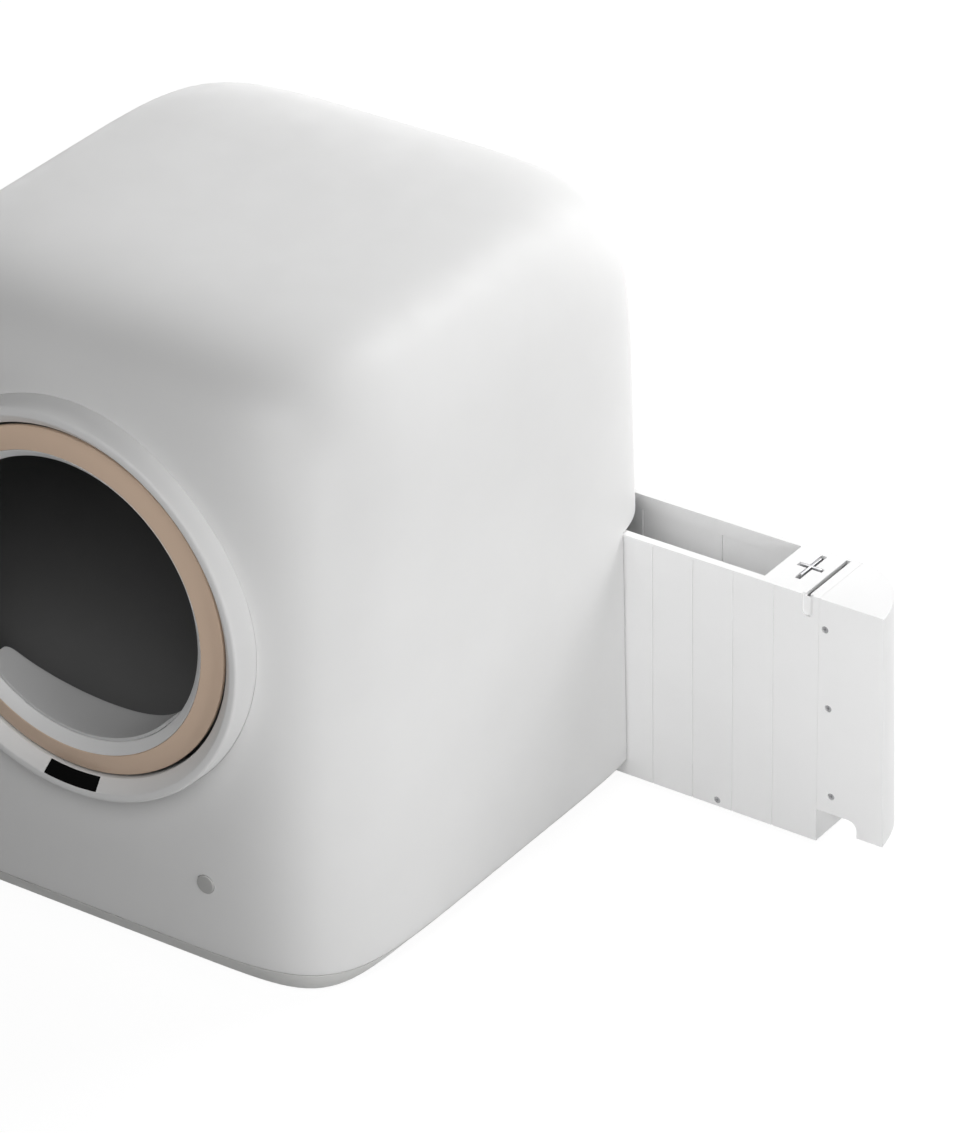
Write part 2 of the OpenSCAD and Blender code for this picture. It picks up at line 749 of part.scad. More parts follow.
// Involute teeth: half the angle of a tooth at a radius, and the outline of a whole gear
function inv(a) = tan(a) * 180 / PI - a;
function tooth_half(r, base_r, pitch_r, teeth) = 90 / teeth - backlash / 2 / pitch_r * 90 / PI
    + inv(pressure_angle) - (r > base_r ? inv(acos(base_r / r)) : 0);
function gear_outline(teeth, turn) =
    let (pitch_r = gear_module * teeth / 2, base_r = pitch_r * cos(pressure_angle),
        root = pitch_r - gear_module * dedendum_share, tip = pitch_r + gear_module * addendum_share)
    [for (i = [0:teeth - 1], s = [-1, 1], k = [0:flank_steps])
        let (j = s < 0 ? k : flank_steps - k, r = root + (tip - root) * j / flank_steps,
            a = turn + 360 * i / teeth + s * tooth_half(r, base_r, pitch_r, teeth))
        r * [cos(a), sin(a)]];
module drum_gear() color([0.85, 0.85, 0.84]) {
    translate([0, 0, mouth_z]) plate_y(gear_y, gear_w) difference() {
        polygon(gear_outline(gear_teeth, pinion_angle));
        circle(r = gear_seat_r + seat_gap, $fn = arc_fn);
    }
}
module drive_pinion() color([0.85, 0.8, 0.65]) {
    hub_r = pinion_pitch_r / 2;
    difference() {
        union() {
            translate([pinion_x, 0, pinion_z]) plate_y(pinion_y, pinion_len)
                polygon(gear_outline(pinion_teeth, pinion_angle + 180 + 180 / pinion_teeth));
            bar_y(pinion_x, pinion_y - pinion_side, pinion_z, hub_r, pinion_side + over);
        }
        bar_y(pinion_x, bracket_y, pinion_z, shaft_r + run_fit, gearbox_len + pinion_len);
    }
}
module motor_shaft() color([0.7, 0.7, 0.72]) {
    end_y = pinion_y + pinion_len + shaft_end;
    bar_y(pinion_x, shaft_y, pinion_z, shaft_r, end_y - shaft_y);
}
module sifting_screen() color([0.55, 0.55, 0.55]) {
    in_r = drum_inner_r - seat_gap;
    seat_r = gear_seat_r - drum_wall - seat_gap;
    step_y = gear_y - step_len - drum_wall - seat_gap;
    front = 2 * split_t;
    back = drum_rear_y - drum_wall - seat_gap;
    row_len = (back - front - 3 * slot_w) / 2;
    intersection() {
        lathe() polygon([[0, front], [in_r, front], [in_r, step_y - step_len], [seat_r, step_y],
            [seat_r, back], [0, back]]);
        translate([0, 0, mouth_z]) rotate([0, screen_turn, 0]) difference() {
            translate([-drum_r, 0, screen_off]) cube([2 * drum_r, drum_rear_y, screen_t]);
            for (i = [0:slot_count - 1], j = [0, 1])
                translate([(i - (slot_count - 1) / 2) * slot_pitch - slot_w / 2,
                    front + slot_w + j * (row_len + slot_w), screen_off - over])
                    cube([slot_w, row_len, screen_t + 2 * over]);
        }
    }
}
module waste_scoop() color([0.5, 0.5, 0.5]) {
    out_r = outlet_r - drum_wall - seat_gap;
    start_y = drum_rear_y - scoop_len;
    lathe(start = scoop_angle, turn = 180) polygon([[out_r - scoop_fall - rim_t, start_y],
        [out_r - scoop_fall, start_y], [out_r, drum_rear_y - drum_wall], [out_r, outlet_end_y - over],
        [out_r - rim_t, outlet_end_y - over], [out_r - rim_t, drum_rear_y - drum_wall]]);
}
module outlet_seal() color([0.25, 0.25, 0.25]) {
    seat_r = bulkhead_hole_r - seat_gap / 2;
    lathe() polygon([[outlet_r + seal_gap, bulkhead_y], [seat_r, bulkhead_y], [seat_r, bulkhead_back_y],
        [outlet_r + seal_gap, bulkhead_back_y]]);
}

// Drive
module gearbox() color([0.72, 0.72, 0.74]) {
    difference() {
        spindle(pinion_x, pinion_z) polygon([[0, gearbox_y], [gearbox_r, gearbox_y],
            [gearbox_r, bracket_y - over], [gearbox_r - over, bracket_y], [boss_r, bracket_y],
            [boss_r, bracket_y + boss_h], [0, bracket_y + boss_h]]);
        bar_y(pinion_x, shaft_y - seat_gap, pinion_z, shaft_r + run_fit, gearbox_len + plate_t);
        motor_holes(screw_r + run_fit, bracket_y - screw_len, screw_len + over);
    }
}
module motor_holes(r, y, l) {
    for (a = [45:90:315])
        bar_y(pinion_x + motor_pcd_r * cos(a), y, pinion_z + motor_pcd_r * sin(a), r, l);
}
module motor_can() color([0.6, 0.6, 0.62]) {
    cap_r = motor_r / 2;
    cap_y = motor_y - motor_cap_h;
    spindle(pinion_x, pinion_z) polygon([[0, cap_y], [cap_r, cap_y], [cap_r, motor_y],
        [motor_r - over, motor_y], [motor_r, motor_y + over], [motor_r, gearbox_y], [0, gearbox_y]]);
    for (s = [-1, 1]) translate([pinion_x + s * (terminal_off + over) - terminal.x / 2, motor_y - terminal.y,
        pinion_z - terminal.z / 2]) cube(terminal + [0, over, 0]);
}
module motor_bracket() color([0.78, 0.78, 0.8]) {
    difference() {
        union() {
            plate_y(bracket_y, plate_t) {
                translate([pinion_x, pinion_z]) circle(r = bracket_r, $fn = small_fn * 2);
                translate([pinion_x - bracket_r, floor_z]) square([2 * bracket_r, pinion_z - floor_z]);
            }
            block([pinion_x - bracket_r, bracket_y - bracket_foot, floor_z],
                [pinion_x + bracket_r, bracket_back_y, floor_z + plate_t]);
            for (s = [-1, 1]) translate([pinion_x + s * (bracket_r - plate_t / 2) - plate_t / 2, 0, 0])
                rotate([90, 0, 90]) linear_extrude(plate_t) polygon([[bracket_y - bracket_foot, floor_z],
                    [bracket_y + over, floor_z], [bracket_y + over, pinion_z - bracket_r],
                    [bracket_y - bracket_foot, floor_z + 2 * plate_t]]);
        }
        bar_y(pinion_x, bracket_y - over, pinion_z, boss_r + run_fit, plate_t + 2 * over);
        motor_holes(screw_r + run_fit, bracket_y - over, plate_t + 2 * over);
        foot_screws(screw_r + run_fit, plate_t + 2 * over);
    }
}
module foot_screws(r, h) {
    for (s = [-1, 1]) translate([pinion_x + s * bracket_r / 2, bracket_y - bracket_foot / 2, floor_z])
        cylinder(r = r, h = h, $fn = small_fn);
}
module motor_screws() color([0.6, 0.6, 0.62]) {
    motor_holes(screw_r, bracket_back_y - screw_len, screw_len);
    motor_holes(screw_head_r, bracket_back_y, screw_head_h);
    foot_screws(screw_r, plate_t);
    translate([0, 0, plate_t]) foot_screws(screw_head_r, screw_head_h);
}
module roller(x, y) color([0.3, 0.3, 0.3]) {
    edge = 1.5;
    groove = 1;
    spindle(x, roller_z) polygon([[pin_r + run_fit, y - roller_w / 2], [roller_r - edge, y - roller_w / 2],
        [roller_r, y - roller_w / 2 + edge], [roller_r, y - groove], [roller_r - groove, y],
        [roller_r, y + groove], [roller_r, y + roller_w / 2 - edge], [roller_r - edge, y + roller_w / 2],
        [pin_r + run_fit, y + roller_w / 2]]);
}
module roller_front_left() roller(-roller_x, roller_front_y);
module roller_front_right() roller(roller_x, roller_front_y);
module roller_rear_left() roller(-roller_x, roller_back_y);
module roller_rear_right() roller(roller_x, roller_back_y);
module roller_pins() color([0.7, 0.7, 0.72]) {
    reach = roller_w / 2 + cheek_gap + cheek_t;
    for (s = [-1, 1], y = [roller_front_y, roller_back_y]) {
        bar_y(s * roller_x, y - reach, roller_z, pin_r, 2 * reach + pin_head_h);
        bar_y(s * roller_x, y - reach - pin_head_h, roller_z, pin_head_r, pin_head_h);
    }
}
module roller_brackets() color([0.82, 0.82, 0.83]) {
    for (s = [-1, 1], y = [roller_front_y, roller_back_y]) roller_bracket(s * roller_x, y);
}
module roller_bracket(x, y) {
    reach = roller_w / 2 + cheek_gap;
    difference() {
        union() {
            for (side_y = [y - reach - cheek_t, y + reach]) plate_y(side_y, cheek_t) {
                translate([x, roller_z]) circle(r = cheek_r, $fn = small_fn);
                polygon([[x - cheek_foot, floor_z], [x + cheek_foot, floor_z],
                    [x + cheek_r, roller_z - cheek_r / 2], [x + cheek_r, roller_z], [x - cheek_r, roller_z],
                    [x - cheek_r, roller_z - cheek_r / 2]]);
            }
            block([x - cheek_foot, y - reach - over, floor_z],
                [x + cheek_foot, y + reach + over, floor_z + cheek_t]);
            block([x - cheek_t / 2, y - reach - over, floor_z],
                [x + cheek_t / 2, y + reach + over, roller_z - bracket_web]);
        }
        bar_y(x, y - reach - cheek_t - over, roller_z, pin_r + run_fit, 2 * (reach + cheek_t + over));
    }
}

// Drawer bay
module rear_bulkhead() color([0.88, 0.88, 0.88]) {
    w = bulkhead_w / 2;
    r = bulkhead_corner_r;
    plate_y(bulkhead_y, bulkhead_t) difference() {
        polygon(concat([[-w, floor_z + bulkhead_foot], [bulkhead_foot - w, floor_z],
            [w - bulkhead_foot, floor_z], [w, floor_z + bulkhead_foot]],
            arc([w - r, bulkhead_top_z - r], r, 0, 90, 12),
            arc([r - w, bulkhead_top_z - r], r, 90, 180, 12)));
        translate([0, mouth_z]) circle(r = bulkhead_hole_r, $fn = arc_fn);
    }
}
module waste_chute() color([0.86, 0.86, 0.86]) {
    way = chute_r - chute_wall;
    difference() {
        plate_y(bulkhead_back_y, chute_back_y - bulkhead_back_y) arch(chute_r, chute_z);
        plate_y(bulkhead_back_y - over, chute_back_y - bulkhead_back_y + over - chute_wall)
            arch(way, chute_z - over);
    }
    // Lip that keeps waste off the bin's near rim
    lip_z = mouth_z - outlet_r - seal_gap;
    translate([-way - over / 2, 0, 0]) rotate([90, 0, 90]) linear_extrude(2 * way + over) polygon([
        [bulkhead_back_y, lip_z], [bulkhead_back_y, lip_z - chute_wall],
        [bin_near_y + bin_rim_w, chute_z], [bin_near_y + bin_rim_w + chute_wall, chute_z]]);
}
module arch(r, low) {
    polygon(concat([[-r, low], [r, low]], arc([0, mouth_z], r, 0, 180, arc_fn / 2)));
}
module drawer_runners() color([0.7, 0.7, 0.7]) {
    rail_x = bin_start_in_x - base_floor;
    rail_end = bulkhead_w / 2;
    for (z = [rail_low_z, rail_high_z])
        block([rail_x, bulkhead_back_y, z], [rail_end, bulkhead_back_y + rail_t, z + rail_h]);
    block([-far_rail_len / 2, bay_far_y, rail_high_z],
        [far_rail_len / 2, bay_far_y + far_rail_t, rail_high_z + rail_h]);
}

// Drawer, drawn where it stands when pulled out
module bin_section(grow) {
    top = bin_top_z + (grow > 0 ? over : 0);
    polygon([[bin_near_y + grow, bin_z + grow], [bin_far_y - bin_chamfer_y - grow / 2, bin_z + grow],
        [bin_far_y - grow, bin_z + bin_chamfer_z + grow / 2], [bin_far_y - grow, top],
        [bin_near_y + grow, top]]);
}
module along_x(x, l) {
    translate([x, 0, 0]) rotate([90, 0, 90]) linear_extrude(l) children();
}
module panel_grooves() {
    for (x = [bin_end_x - first_panel_off:-panel_pitch:bin_start_x + panel_pitch / 2])
        block([x - panel_line_w / 2, bin_near_y - over, bin_z - over],
            [x + panel_line_w / 2, bin_near_y + panel_groove, bin_top_z - lip_h]);
}
module cross(grow_x, grow_y, low, high) {
    block([latch_x - blade_t / 2 - grow_x, latch_y - blade_w / 2 - grow_y, low],
        [latch_x + blade_t / 2 + grow_x, latch_y + blade_w / 2 + grow_y, high]);
    block([latch_x - blade_arm / 2 - grow_x, latch_y - blade_t / 2 - grow_x, low],
        [latch_x + blade_arm / 2 + grow_x, latch_y + blade_t / 2 + grow_x, high]);
}
// A slot in the near wall, rounded at its lower end
module u_slot(x, deep) {
    round_z = bin_top_z - u_slot_h + u_slot_w / 2;
    bar_y(x, bin_near_y - over, round_z, u_slot_w / 2, deep + over);
    block([x - u_slot_w / 2, bin_near_y - over, round_z],
        [x + u_slot_w / 2, bin_near_y + deep, bin_top_z + over]);
}
module side_screws(r, y, l) {
    for (i = [0:2]) bar_y(bin_end_x + cap_screw_off[i], y, bin_top_z - cap_screw_down[i], r, l);
    bar_y(bin_end_x - lone_screw_off, y, bin_z + lone_screw_up, r, l);
}
module waste_bin() color([0.95, 0.95, 0.95]) {
    inner_near = bin_near_y + bin_wall;
    inner_far = bin_far_y - bin_wall;
    pocket_z = bin_top_z + blade_proud - blade_h - latch_travel - over;
    spring_z = pocket_z - latch_spring_h;
    slot_x = bin_end_x - rim_groove_off;
    rim_end = slot_x - u_slot_w / 2 + rim_groove_w;
    lone_x = bin_end_x - lone_screw_off;
    difference() {
        union() {
            difference() {
                along_x(bin_start_x, bin_len) bin_section(0);
                // The bin's hollow, and the open end that the cap covers
                along_x(bin_start_x + bin_wall, mouth_end_x - bin_start_x - bin_wall) bin_section(bin_wall);
                block([mouth_end_x + bin_wall, inner_near, chamber_z],
                    [bin_end_x + over, inner_far, bin_top_z - deck_t]);
            }
            // Rims, the band inside the far wall and its ribs
            block([bin_start_x, bin_near_y - lip_over, bin_top_z - lip_h],
                [rim_end, bin_near_y + bin_rim_w, bin_top_z]);
            block([bin_start_x, bin_far_y - bin_wall - band_t, bin_top_z - band_h],
                [mouth_end_x + over, bin_far_y - bin_wall + over, bin_top_z]);
            for (x = [mouth_end_x - 2 * panel_pitch:-2 * panel_pitch:bin_start_x + panel_pitch])
                block([x - far_rib_w / 2, inner_far - far_rib_t, bin_z + bin_chamfer_z + bin_wall],
                    [x + far_rib_w / 2, inner_far + over, bin_top_z - band_h + over]);
            // Block round the latch
            block([latch_x - latch_block.x / 2, latch_y - latch_block.y / 2 - bin_wall, spring_z - bin_wall],
                [latch_x + latch_block.x / 2, latch_y + latch_block.y / 2 + bin_wall, bin_top_z - over]);
            // Tongue that the cap is screwed to
            block([bin_end_x - tongue_root, inner_near - over, chamber_z + over],
                [bin_end_x, inner_near + seat_gap + tongue_t, bin_top_z - deck_t - u_slot_h]);
            block([bin_end_x - over, inner_near + seat_gap, chamber_z + over],
                [bin_end_x + tongue_len, inner_near + seat_gap + tongue_t, bin_top_z - deck_t - u_slot_h]);
            block([lone_x - lone_boss.x / 2, inner_near - over, bin_z + over],
                [lone_x + lone_boss.x / 2, inner_near + lone_boss.y, bin_z + lone_boss.z]);
        }
        panel_grooves();
        // Groove across the top and slot in the near wall
        block([slot_x - rim_groove_w / 2, bin_near_y - over, bin_top_z - rim_groove_h],
            [slot_x + rim_groove_w / 2, bin_far_y - rim_groove_h, bin_top_z + over]);
        u_slot(slot_x, 2 * bin_wall / 3);
        cross(pocket_gap_x, pocket_gap_y, pocket_z, bin_top_z + over);
        translate([latch_x, latch_y, spring_z])
            cylinder(r = spring_hole_r, h = latch_spring_h + over, $fn = small_fn);
        side_screws(screw_r + run_fit, bin_near_y + bin_wall - screw_wall, screw_len + over);
        bar_y(lone_x, bin_near_y - over, bin_z + lone_screw_up, screw_head_r + seat_gap,
            over + bin_wall - screw_wall);
    }
}
module bin_end_cap() color([0.95, 0.95, 0.95]) {
    low = seam_z + seat_gap;
    start = bin_end_x + seat_gap / 2;
    inner_z = seam_z + notch_h + bin_wall;
    difference() {
        intersection() {
            translate([drawer_out, 0, 0])
                straight_form(seam_z - over, 0, bin_top_z + over, draft_share * bin_top_z);
            block([start, bin_near_y, low], [start + body_w, bin_far_y, bin_top_z]);
        }
        intersection() {
            translate([drawer_out, 0, 0]) straight_form(seam_z - over, bin_wall, bin_top_z + over,
                bin_wall + draft_share * bin_top_z);
            block([start - over, bin_near_y + bin_wall, inner_z],
                [start + body_w, bin_far_y - bin_wall, bin_top_z - bin_wall]);
        }
        plate_y(bin_near_y - over, bin_w + 2 * over) notch_outline(start, low);
        side_screws(screw_head_r + seat_gap, bin_near_y - over, over + bin_wall - screw_wall);
        side_screws(screw_r + run_fit, bin_near_y, bin_w / 2);
    }
}
module notch_outline(x, z) {
    top = seam_z + notch_h;
    r = notch_corner_r;
    polygon(concat([[x - over, z - over], [bin_end_x + notch_len, z - over]],
        arc([bin_end_x + notch_len - r, top - r], r, 0, 90, 8), [[x - over, top]]));
}
module cap_screws() color([0.35, 0.35, 0.36]) {
    side_screws(screw_head_r, bin_near_y + bin_wall - screw_wall - screw_head_h, screw_head_h);
    side_screws(screw_r, bin_near_y + bin_wall - screw_wall, screw_len);
}
module latch_blade() color([0.85, 0.85, 0.86]) {
    high = bin_top_z + blade_proud;
    cross(0, 0, high - blade_h, high);
}
module latch_spring() color([0.7, 0.7, 0.72]) {
    high = bin_top_z + blade_proud - blade_h - seat_gap;
    low = bin_top_z + blade_proud - blade_h - latch_travel - over - latch_spring_h + seat_gap;
    translate([latch_x, latch_y, low]) coil(latch_spring_turns, latch_spring_r, high - low, wire_r);
}

// Button and boards
module power_button() color([0.66, 0.66, 0.66]) {
    face = front_y - button_proud;
    back = button_flange_y + button_flange_t;
    stem_end = board_y - switch_t - plunger_h - button_travel - seat_gap;
    spindle(button_x, button_z) polygon([[0, face - button_crown.x],
        [button_r * button_crown_share, face - button_crown.y], [button_r - button_edge, face],
        [button_r, face + button_edge], [button_r, button_flange_y],
        [button_r + button_flange, button_flange_y], [button_r + button_flange, back], [button_stem_r, back],
        [button_stem_r, stem_end], [0, stem_end]]);
}
module button_switch() color([0.15, 0.15, 0.15]) {
    half_w = switch_size / 2;
    block([button_x - half_w, board_y - switch_t, button_z - half_w],
        [button_x + half_w, board_y, button_z + half_w]);
    bar_y(button_x, board_y - switch_t - plunger_h, button_z, plunger_r, plunger_h + over);
}
module button_spring() color([0.7, 0.7, 0.72]) {
    start = button_flange_y + button_flange_t + seat_gap;
    high = board_y - switch_t - seat_gap - start;
    translate([button_x, start, button_z]) rotate([-90, 0, 0])
        coil(button_spring_turns, button_spring_r, high, wire_r);
}
module control_board() color([0.1, 0.35, 0.2]) {
    left = button_x - board_w * board_left_share;
    block([left, board_y, floor_z], [left + board_w, board_y + board_t, board_top_z]);
    on_board(left, chip_shares, chip_h);
    on_board(left, box_shares, box_h);
}
// A block on the rear of the board, between two corners given as shares of the board's width
module on_board(left, shares, h) {
    y = board_y + board_t;
    low = board_w * shares[0];
    high = board_w * shares[1];
    block([left + low.x, y - over / 2, floor_z + low.y], [left + high.x, y + h, floor_z + high.y]);
}
module power_inlet() color([0.12, 0.12, 0.12]) {
    x = -half(body_w, inlet_z, 0, body_h);
    translate([x, inlet_y, inlet_z]) rotate([0, 90, 0]) difference() {
        union() {
            translate([0, 0, -inlet_flange_t])
                cylinder(r = inlet_flange_r, h = inlet_flange_t, $fn = small_fn);
            translate([0, 0, -over]) cylinder(r = inlet_body_r, h = inlet_len + over, $fn = small_fn);
        }
        translate([0, 0, -inlet_flange_t - over])
            cylinder(r = inlet_r, h = inlet_depth + over, $fn = small_fn);
    }
}
module inlet_pin() color([0.8, 0.8, 0.8]) {
    x = -half(body_w, inlet_z, 0, body_h) - inlet_flange_t + inlet_depth;
    translate([x - inlet_pin_len, inlet_y, inlet_z]) rotate([0, 90, 0])
        cylinder(r = inlet_pin_r, h = inlet_pin_len, $fn = small_fn);
}

outer_shell();
base_plate();
front_collar();
display_window();
trim_ring();
mouth_rim();
litter_guard();
drum_front_shell();
drum_rear_shell();
drum_gear();
sifting_screen();
waste_scoop();
drum_screws();
outlet_seal();
drive_pinion();
motor_shaft();
gearbox();
motor_can();
motor_bracket();
motor_screws();
roller_front_left();
roller_front_right();
roller_rear_left();
roller_rear_right();
roller_pins();
roller_brackets();
rear_bulkhead();
waste_chute();
drawer_runners();
waste_bin();
bin_end_cap();
cap_screws();
latch_blade();
latch_spring();
power_button();
button_spring();
button_switch();
control_board();
display_board();
power_inlet();
inlet_pin();
load_cells();
feet();
shell_screws();
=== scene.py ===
"""Self-cleaning litter box: smooth mouldings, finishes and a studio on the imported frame, in metres."""

import logging
import math
from dataclasses import dataclass, field
from enum import Enum
from typing import Callable, Iterable, NamedTuple, Sequence

import bmesh
import bpy
from mathutils import Matrix, Vector


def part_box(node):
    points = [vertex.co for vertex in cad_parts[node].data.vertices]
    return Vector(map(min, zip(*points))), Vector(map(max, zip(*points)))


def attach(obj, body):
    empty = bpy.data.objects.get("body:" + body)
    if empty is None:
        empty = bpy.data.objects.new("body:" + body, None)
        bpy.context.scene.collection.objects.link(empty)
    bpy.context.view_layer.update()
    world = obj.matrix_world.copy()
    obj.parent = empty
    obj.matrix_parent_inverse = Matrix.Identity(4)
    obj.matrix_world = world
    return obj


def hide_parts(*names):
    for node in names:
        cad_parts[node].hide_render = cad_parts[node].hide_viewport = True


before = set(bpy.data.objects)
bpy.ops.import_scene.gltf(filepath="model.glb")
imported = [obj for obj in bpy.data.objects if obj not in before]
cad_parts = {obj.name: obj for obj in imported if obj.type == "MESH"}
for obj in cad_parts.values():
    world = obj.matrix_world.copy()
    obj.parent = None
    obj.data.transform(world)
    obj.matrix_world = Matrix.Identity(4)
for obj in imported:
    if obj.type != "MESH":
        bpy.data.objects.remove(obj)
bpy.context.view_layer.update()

log = logging.getLogger("litter_box")

# Two points closer than this are one
WELD = 0.00001
# Every cutter runs this far past the face that it cuts
OVER = 0.002
# X that a cutter open to the right side runs out to
CLEAR_X = 0.3
# Edges sharper than the first angle are rounded, those over the second stay sharp in the shading
ROUNDED_FROM = math.radians(30.0)
SHARP_FROM = math.radians(32.0)


# Finishes

# How fast the noise's finer layers fade, and the part of its values that a range is mapped from
NOISE_FADE = 0.55
NOISE_PART = (0.3, 0.7)
# The gloss changes in patches this many times finer than the mottle
GLOSS_FINER = 5.0
COAT_ROUGHNESS = 0.12


def fill(node: bpy.types.Node, values: dict[str, object]) -> None:
    """Sets a node's inputs by name."""
    for name, value in values.items():
        node.inputs[name].default_value = value


@dataclass(frozen=True)
class Finish:
    """A procedural surface: its colour, its gloss and the fine texture that its mould or tool leaves.

    The mottle changes the colour by a small share, the grain is the bump's depth in metres, and both
    scales are counts of noise cells in a metre. A stretch above 1 draws the grain out along X.
    """

    colour: tuple[float, float, float]
    roughness: float
    metallic: float = 0.0
    specular: float = 0.5
    coat: float = 0.0
    mottle: float = 0.03
    mottle_scale: float = 9.0
    grain: float = 0.00003
    grain_scale: float = 1400.0
    gloss_change: float = 0.05
    stretch: float = 1.0

    def material(self, name: str) -> bpy.types.Material:
        """Builds the node material.

        Args:
            name: The material's name.

        Returns:
            The material, reading Object coordinates only.
        """
        material = bpy.data.materials.new(name)
        material.use_nodes = True
        tree = material.node_tree
        shader = tree.nodes["Principled BSDF"]
        fill(shader, {"Metallic": self.metallic, "Specular IOR Level": self.specular,
                      "Coat Weight": self.coat, "Coat Roughness": COAT_ROUGHNESS})
        place = tree.nodes.new("ShaderNodeTexCoord").outputs["Object"]
        turn = tree.nodes.new("ShaderNodeMapping")
        fill(turn, {"Scale": (1.0 / self.stretch, 1.0, 1.0)})
        tree.links.new(place, turn.inputs["Vector"])

        cloud = self._noise(tree, place, self.mottle_scale, 3.0)
        tint = self._range(tree, cloud, 1.0 - self.mottle, 1.0)
        mix = tree.nodes.new("ShaderNodeMix")
        mix.data_type = "RGBA"
        mix.blend_type = "MULTIPLY"
        fill(mix, {"Factor": 1.0, "A": (*self.colour, 1.0)})
        tree.links.new(tint, mix.inputs["B"])
        tree.links.new(mix.outputs["Result"], shader.inputs["Base Color"])

        patch = self._noise(tree, place, self.mottle_scale * GLOSS_FINER, 4.0)
        gloss = self._range(tree, patch, self.roughness - self.gloss_change,
                            self.roughness + self.gloss_change)
        tree.links.new(gloss, shader.inputs["Roughness"])

        bump = tree.nodes.new("ShaderNodeBump")
        fill(bump, {"Strength": 1.0, "Distance": self.grain})
        grain = self._noise(tree, turn.outputs["Vector"], self.grain_scale, 2.0)
        tree.links.new(grain, bump.inputs["Height"])
        tree.links.new(bump.outputs["Normal"], shader.inputs["Normal"])
        return material

    @staticmethod
    def _noise(tree: bpy.types.NodeTree, vector: bpy.types.NodeSocket, scale: float,
               detail: float) -> bpy.types.NodeSocket:
        """Adds a noise texture and returns its value."""
        noise = tree.nodes.new("ShaderNodeTexNoise")
        fill(noise, {"Scale": scale, "Detail": detail, "Roughness": NOISE_FADE})
        tree.links.new(vector, noise.inputs["Vector"])
        return noise.outputs["Fac"]

    @staticmethod
    def _range(tree: bpy.types.NodeTree, value: bpy.types.NodeSocket, low: float,
               high: float) -> bpy.types.NodeSocket:
        """Maps the middle of a noise to a range and returns the result."""
        node = tree.nodes.new("ShaderNodeMapRange")
        fill(node, {"From Min": NOISE_PART[0], "From Max": NOISE_PART[1], "To Min": low, "To Max": high})
        tree.links.new(value, node.inputs["Value"])
        return node.outputs["Result"]


class Surface(Enum):
    """The finishes of the box, each with the record's material slot that it belongs to."""

    SHELL = ("white_shell", Finish((0.80, 0.80, 0.797), 0.46, specular=0.35))
    # The base's white is set darker than the shell's: painted shade for the chamfered strip below the seam
    BASE = ("white_shell", Finish((0.71, 0.71, 0.697), 0.5, specular=0.3))
    BIN = ("white_bin", Finish((0.86, 0.86, 0.86), 0.5, specular=0.35, grain_scale=1800.0))
    INNER = ("white_inner", Finish((0.74, 0.74, 0.73), 0.5))
    GUARD = ("grey_plastic", Finish((0.62, 0.62, 0.62), 0.42, specular=0.3))
    # The drum's own colour is dark grey; this grey is set far lighter, painted light standing in for light
    # that the lamps do not bring inside the drum
    DRUM = ("dark_drum", Finish((0.185, 0.185, 0.185), 0.6, specular=0.25, mottle=0.08, grain=0.00004))
    TRIM = ("beige_trim", Finish((0.72, 0.545, 0.415), 0.42, specular=0.25, grain=0.00001))
    GLASS = ("black_window", Finish((0.003, 0.003, 0.003), 0.16, specular=0.02, mottle=0.3, grain=0.000002,
                                    gloss_change=0.02))
    BUTTON = ("button_grey", Finish((0.46, 0.46, 0.452), 0.38, specular=0.3))
    ACETAL = ("pinion_plastic", Finish((0.66, 0.60, 0.44), 0.35))
    PLATED = ("motor_metal", Finish((0.58, 0.58, 0.60), 0.34, metallic=1.0, grain_scale=900.0, stretch=8.0))
    STEEL = ("screw_steel", Finish((0.42, 0.42, 0.43), 0.36, metallic=1.0, grain=0.00001, stretch=5.0))
    RUBBER = ("black_rubber", Finish((0.022, 0.022, 0.022), 0.72, mottle=0.2, grain=0.00006))
    BOARD = ("board_green", Finish((0.015, 0.12, 0.05), 0.32, mottle=0.35, mottle_scale=220.0, coat=0.4))

    @property
    def slot(self) -> str:
        """The record's material slot."""
        return self.value[0]

    @property
    def material(self) -> bpy.types.Material:
        """The finish's material, made once."""
        name = f"finish_{self.name.lower()}"
        return bpy.data.materials.get(name) or self.value[1].material(name)


# Mesh tools

class Corner(NamedTuple):
    """A corner of an outline: two coordinates in the outline's plane and the radius that rounds it."""

    a: float
    b: float
    round: float = 0.0


def outline(mesh: bmesh.types.BMesh, corners: Sequence[Corner],
            place: Callable[[float, float], Vector]) -> bmesh.types.BMFace:
    """Adds a flat face whose corners are rounded.

    Args:
        mesh: The mesh that gets the face.
        corners: The corners in order.
        place: Gives the point in space for a corner's two coordinates.

    Returns:
        The face.
    """
    known = set(mesh.faces)
    verts = [mesh.verts.new(place(corner.a, corner.b)) for corner in corners]
    mesh.faces.new(verts)
    for radius in sorted({corner.round for corner in corners if corner.round > 0}):
        chosen = [vert for vert, corner in zip(verts, corners) if corner.round == radius]
        bmesh.ops.bevel(mesh, geom=chosen, offset=radius, offset_type="OFFSET", segments=4, profile=0.5,
                        affect="VERTICES", clamp_overlap=True, material=-1)
    return next(face for face in mesh.faces if face not in known)


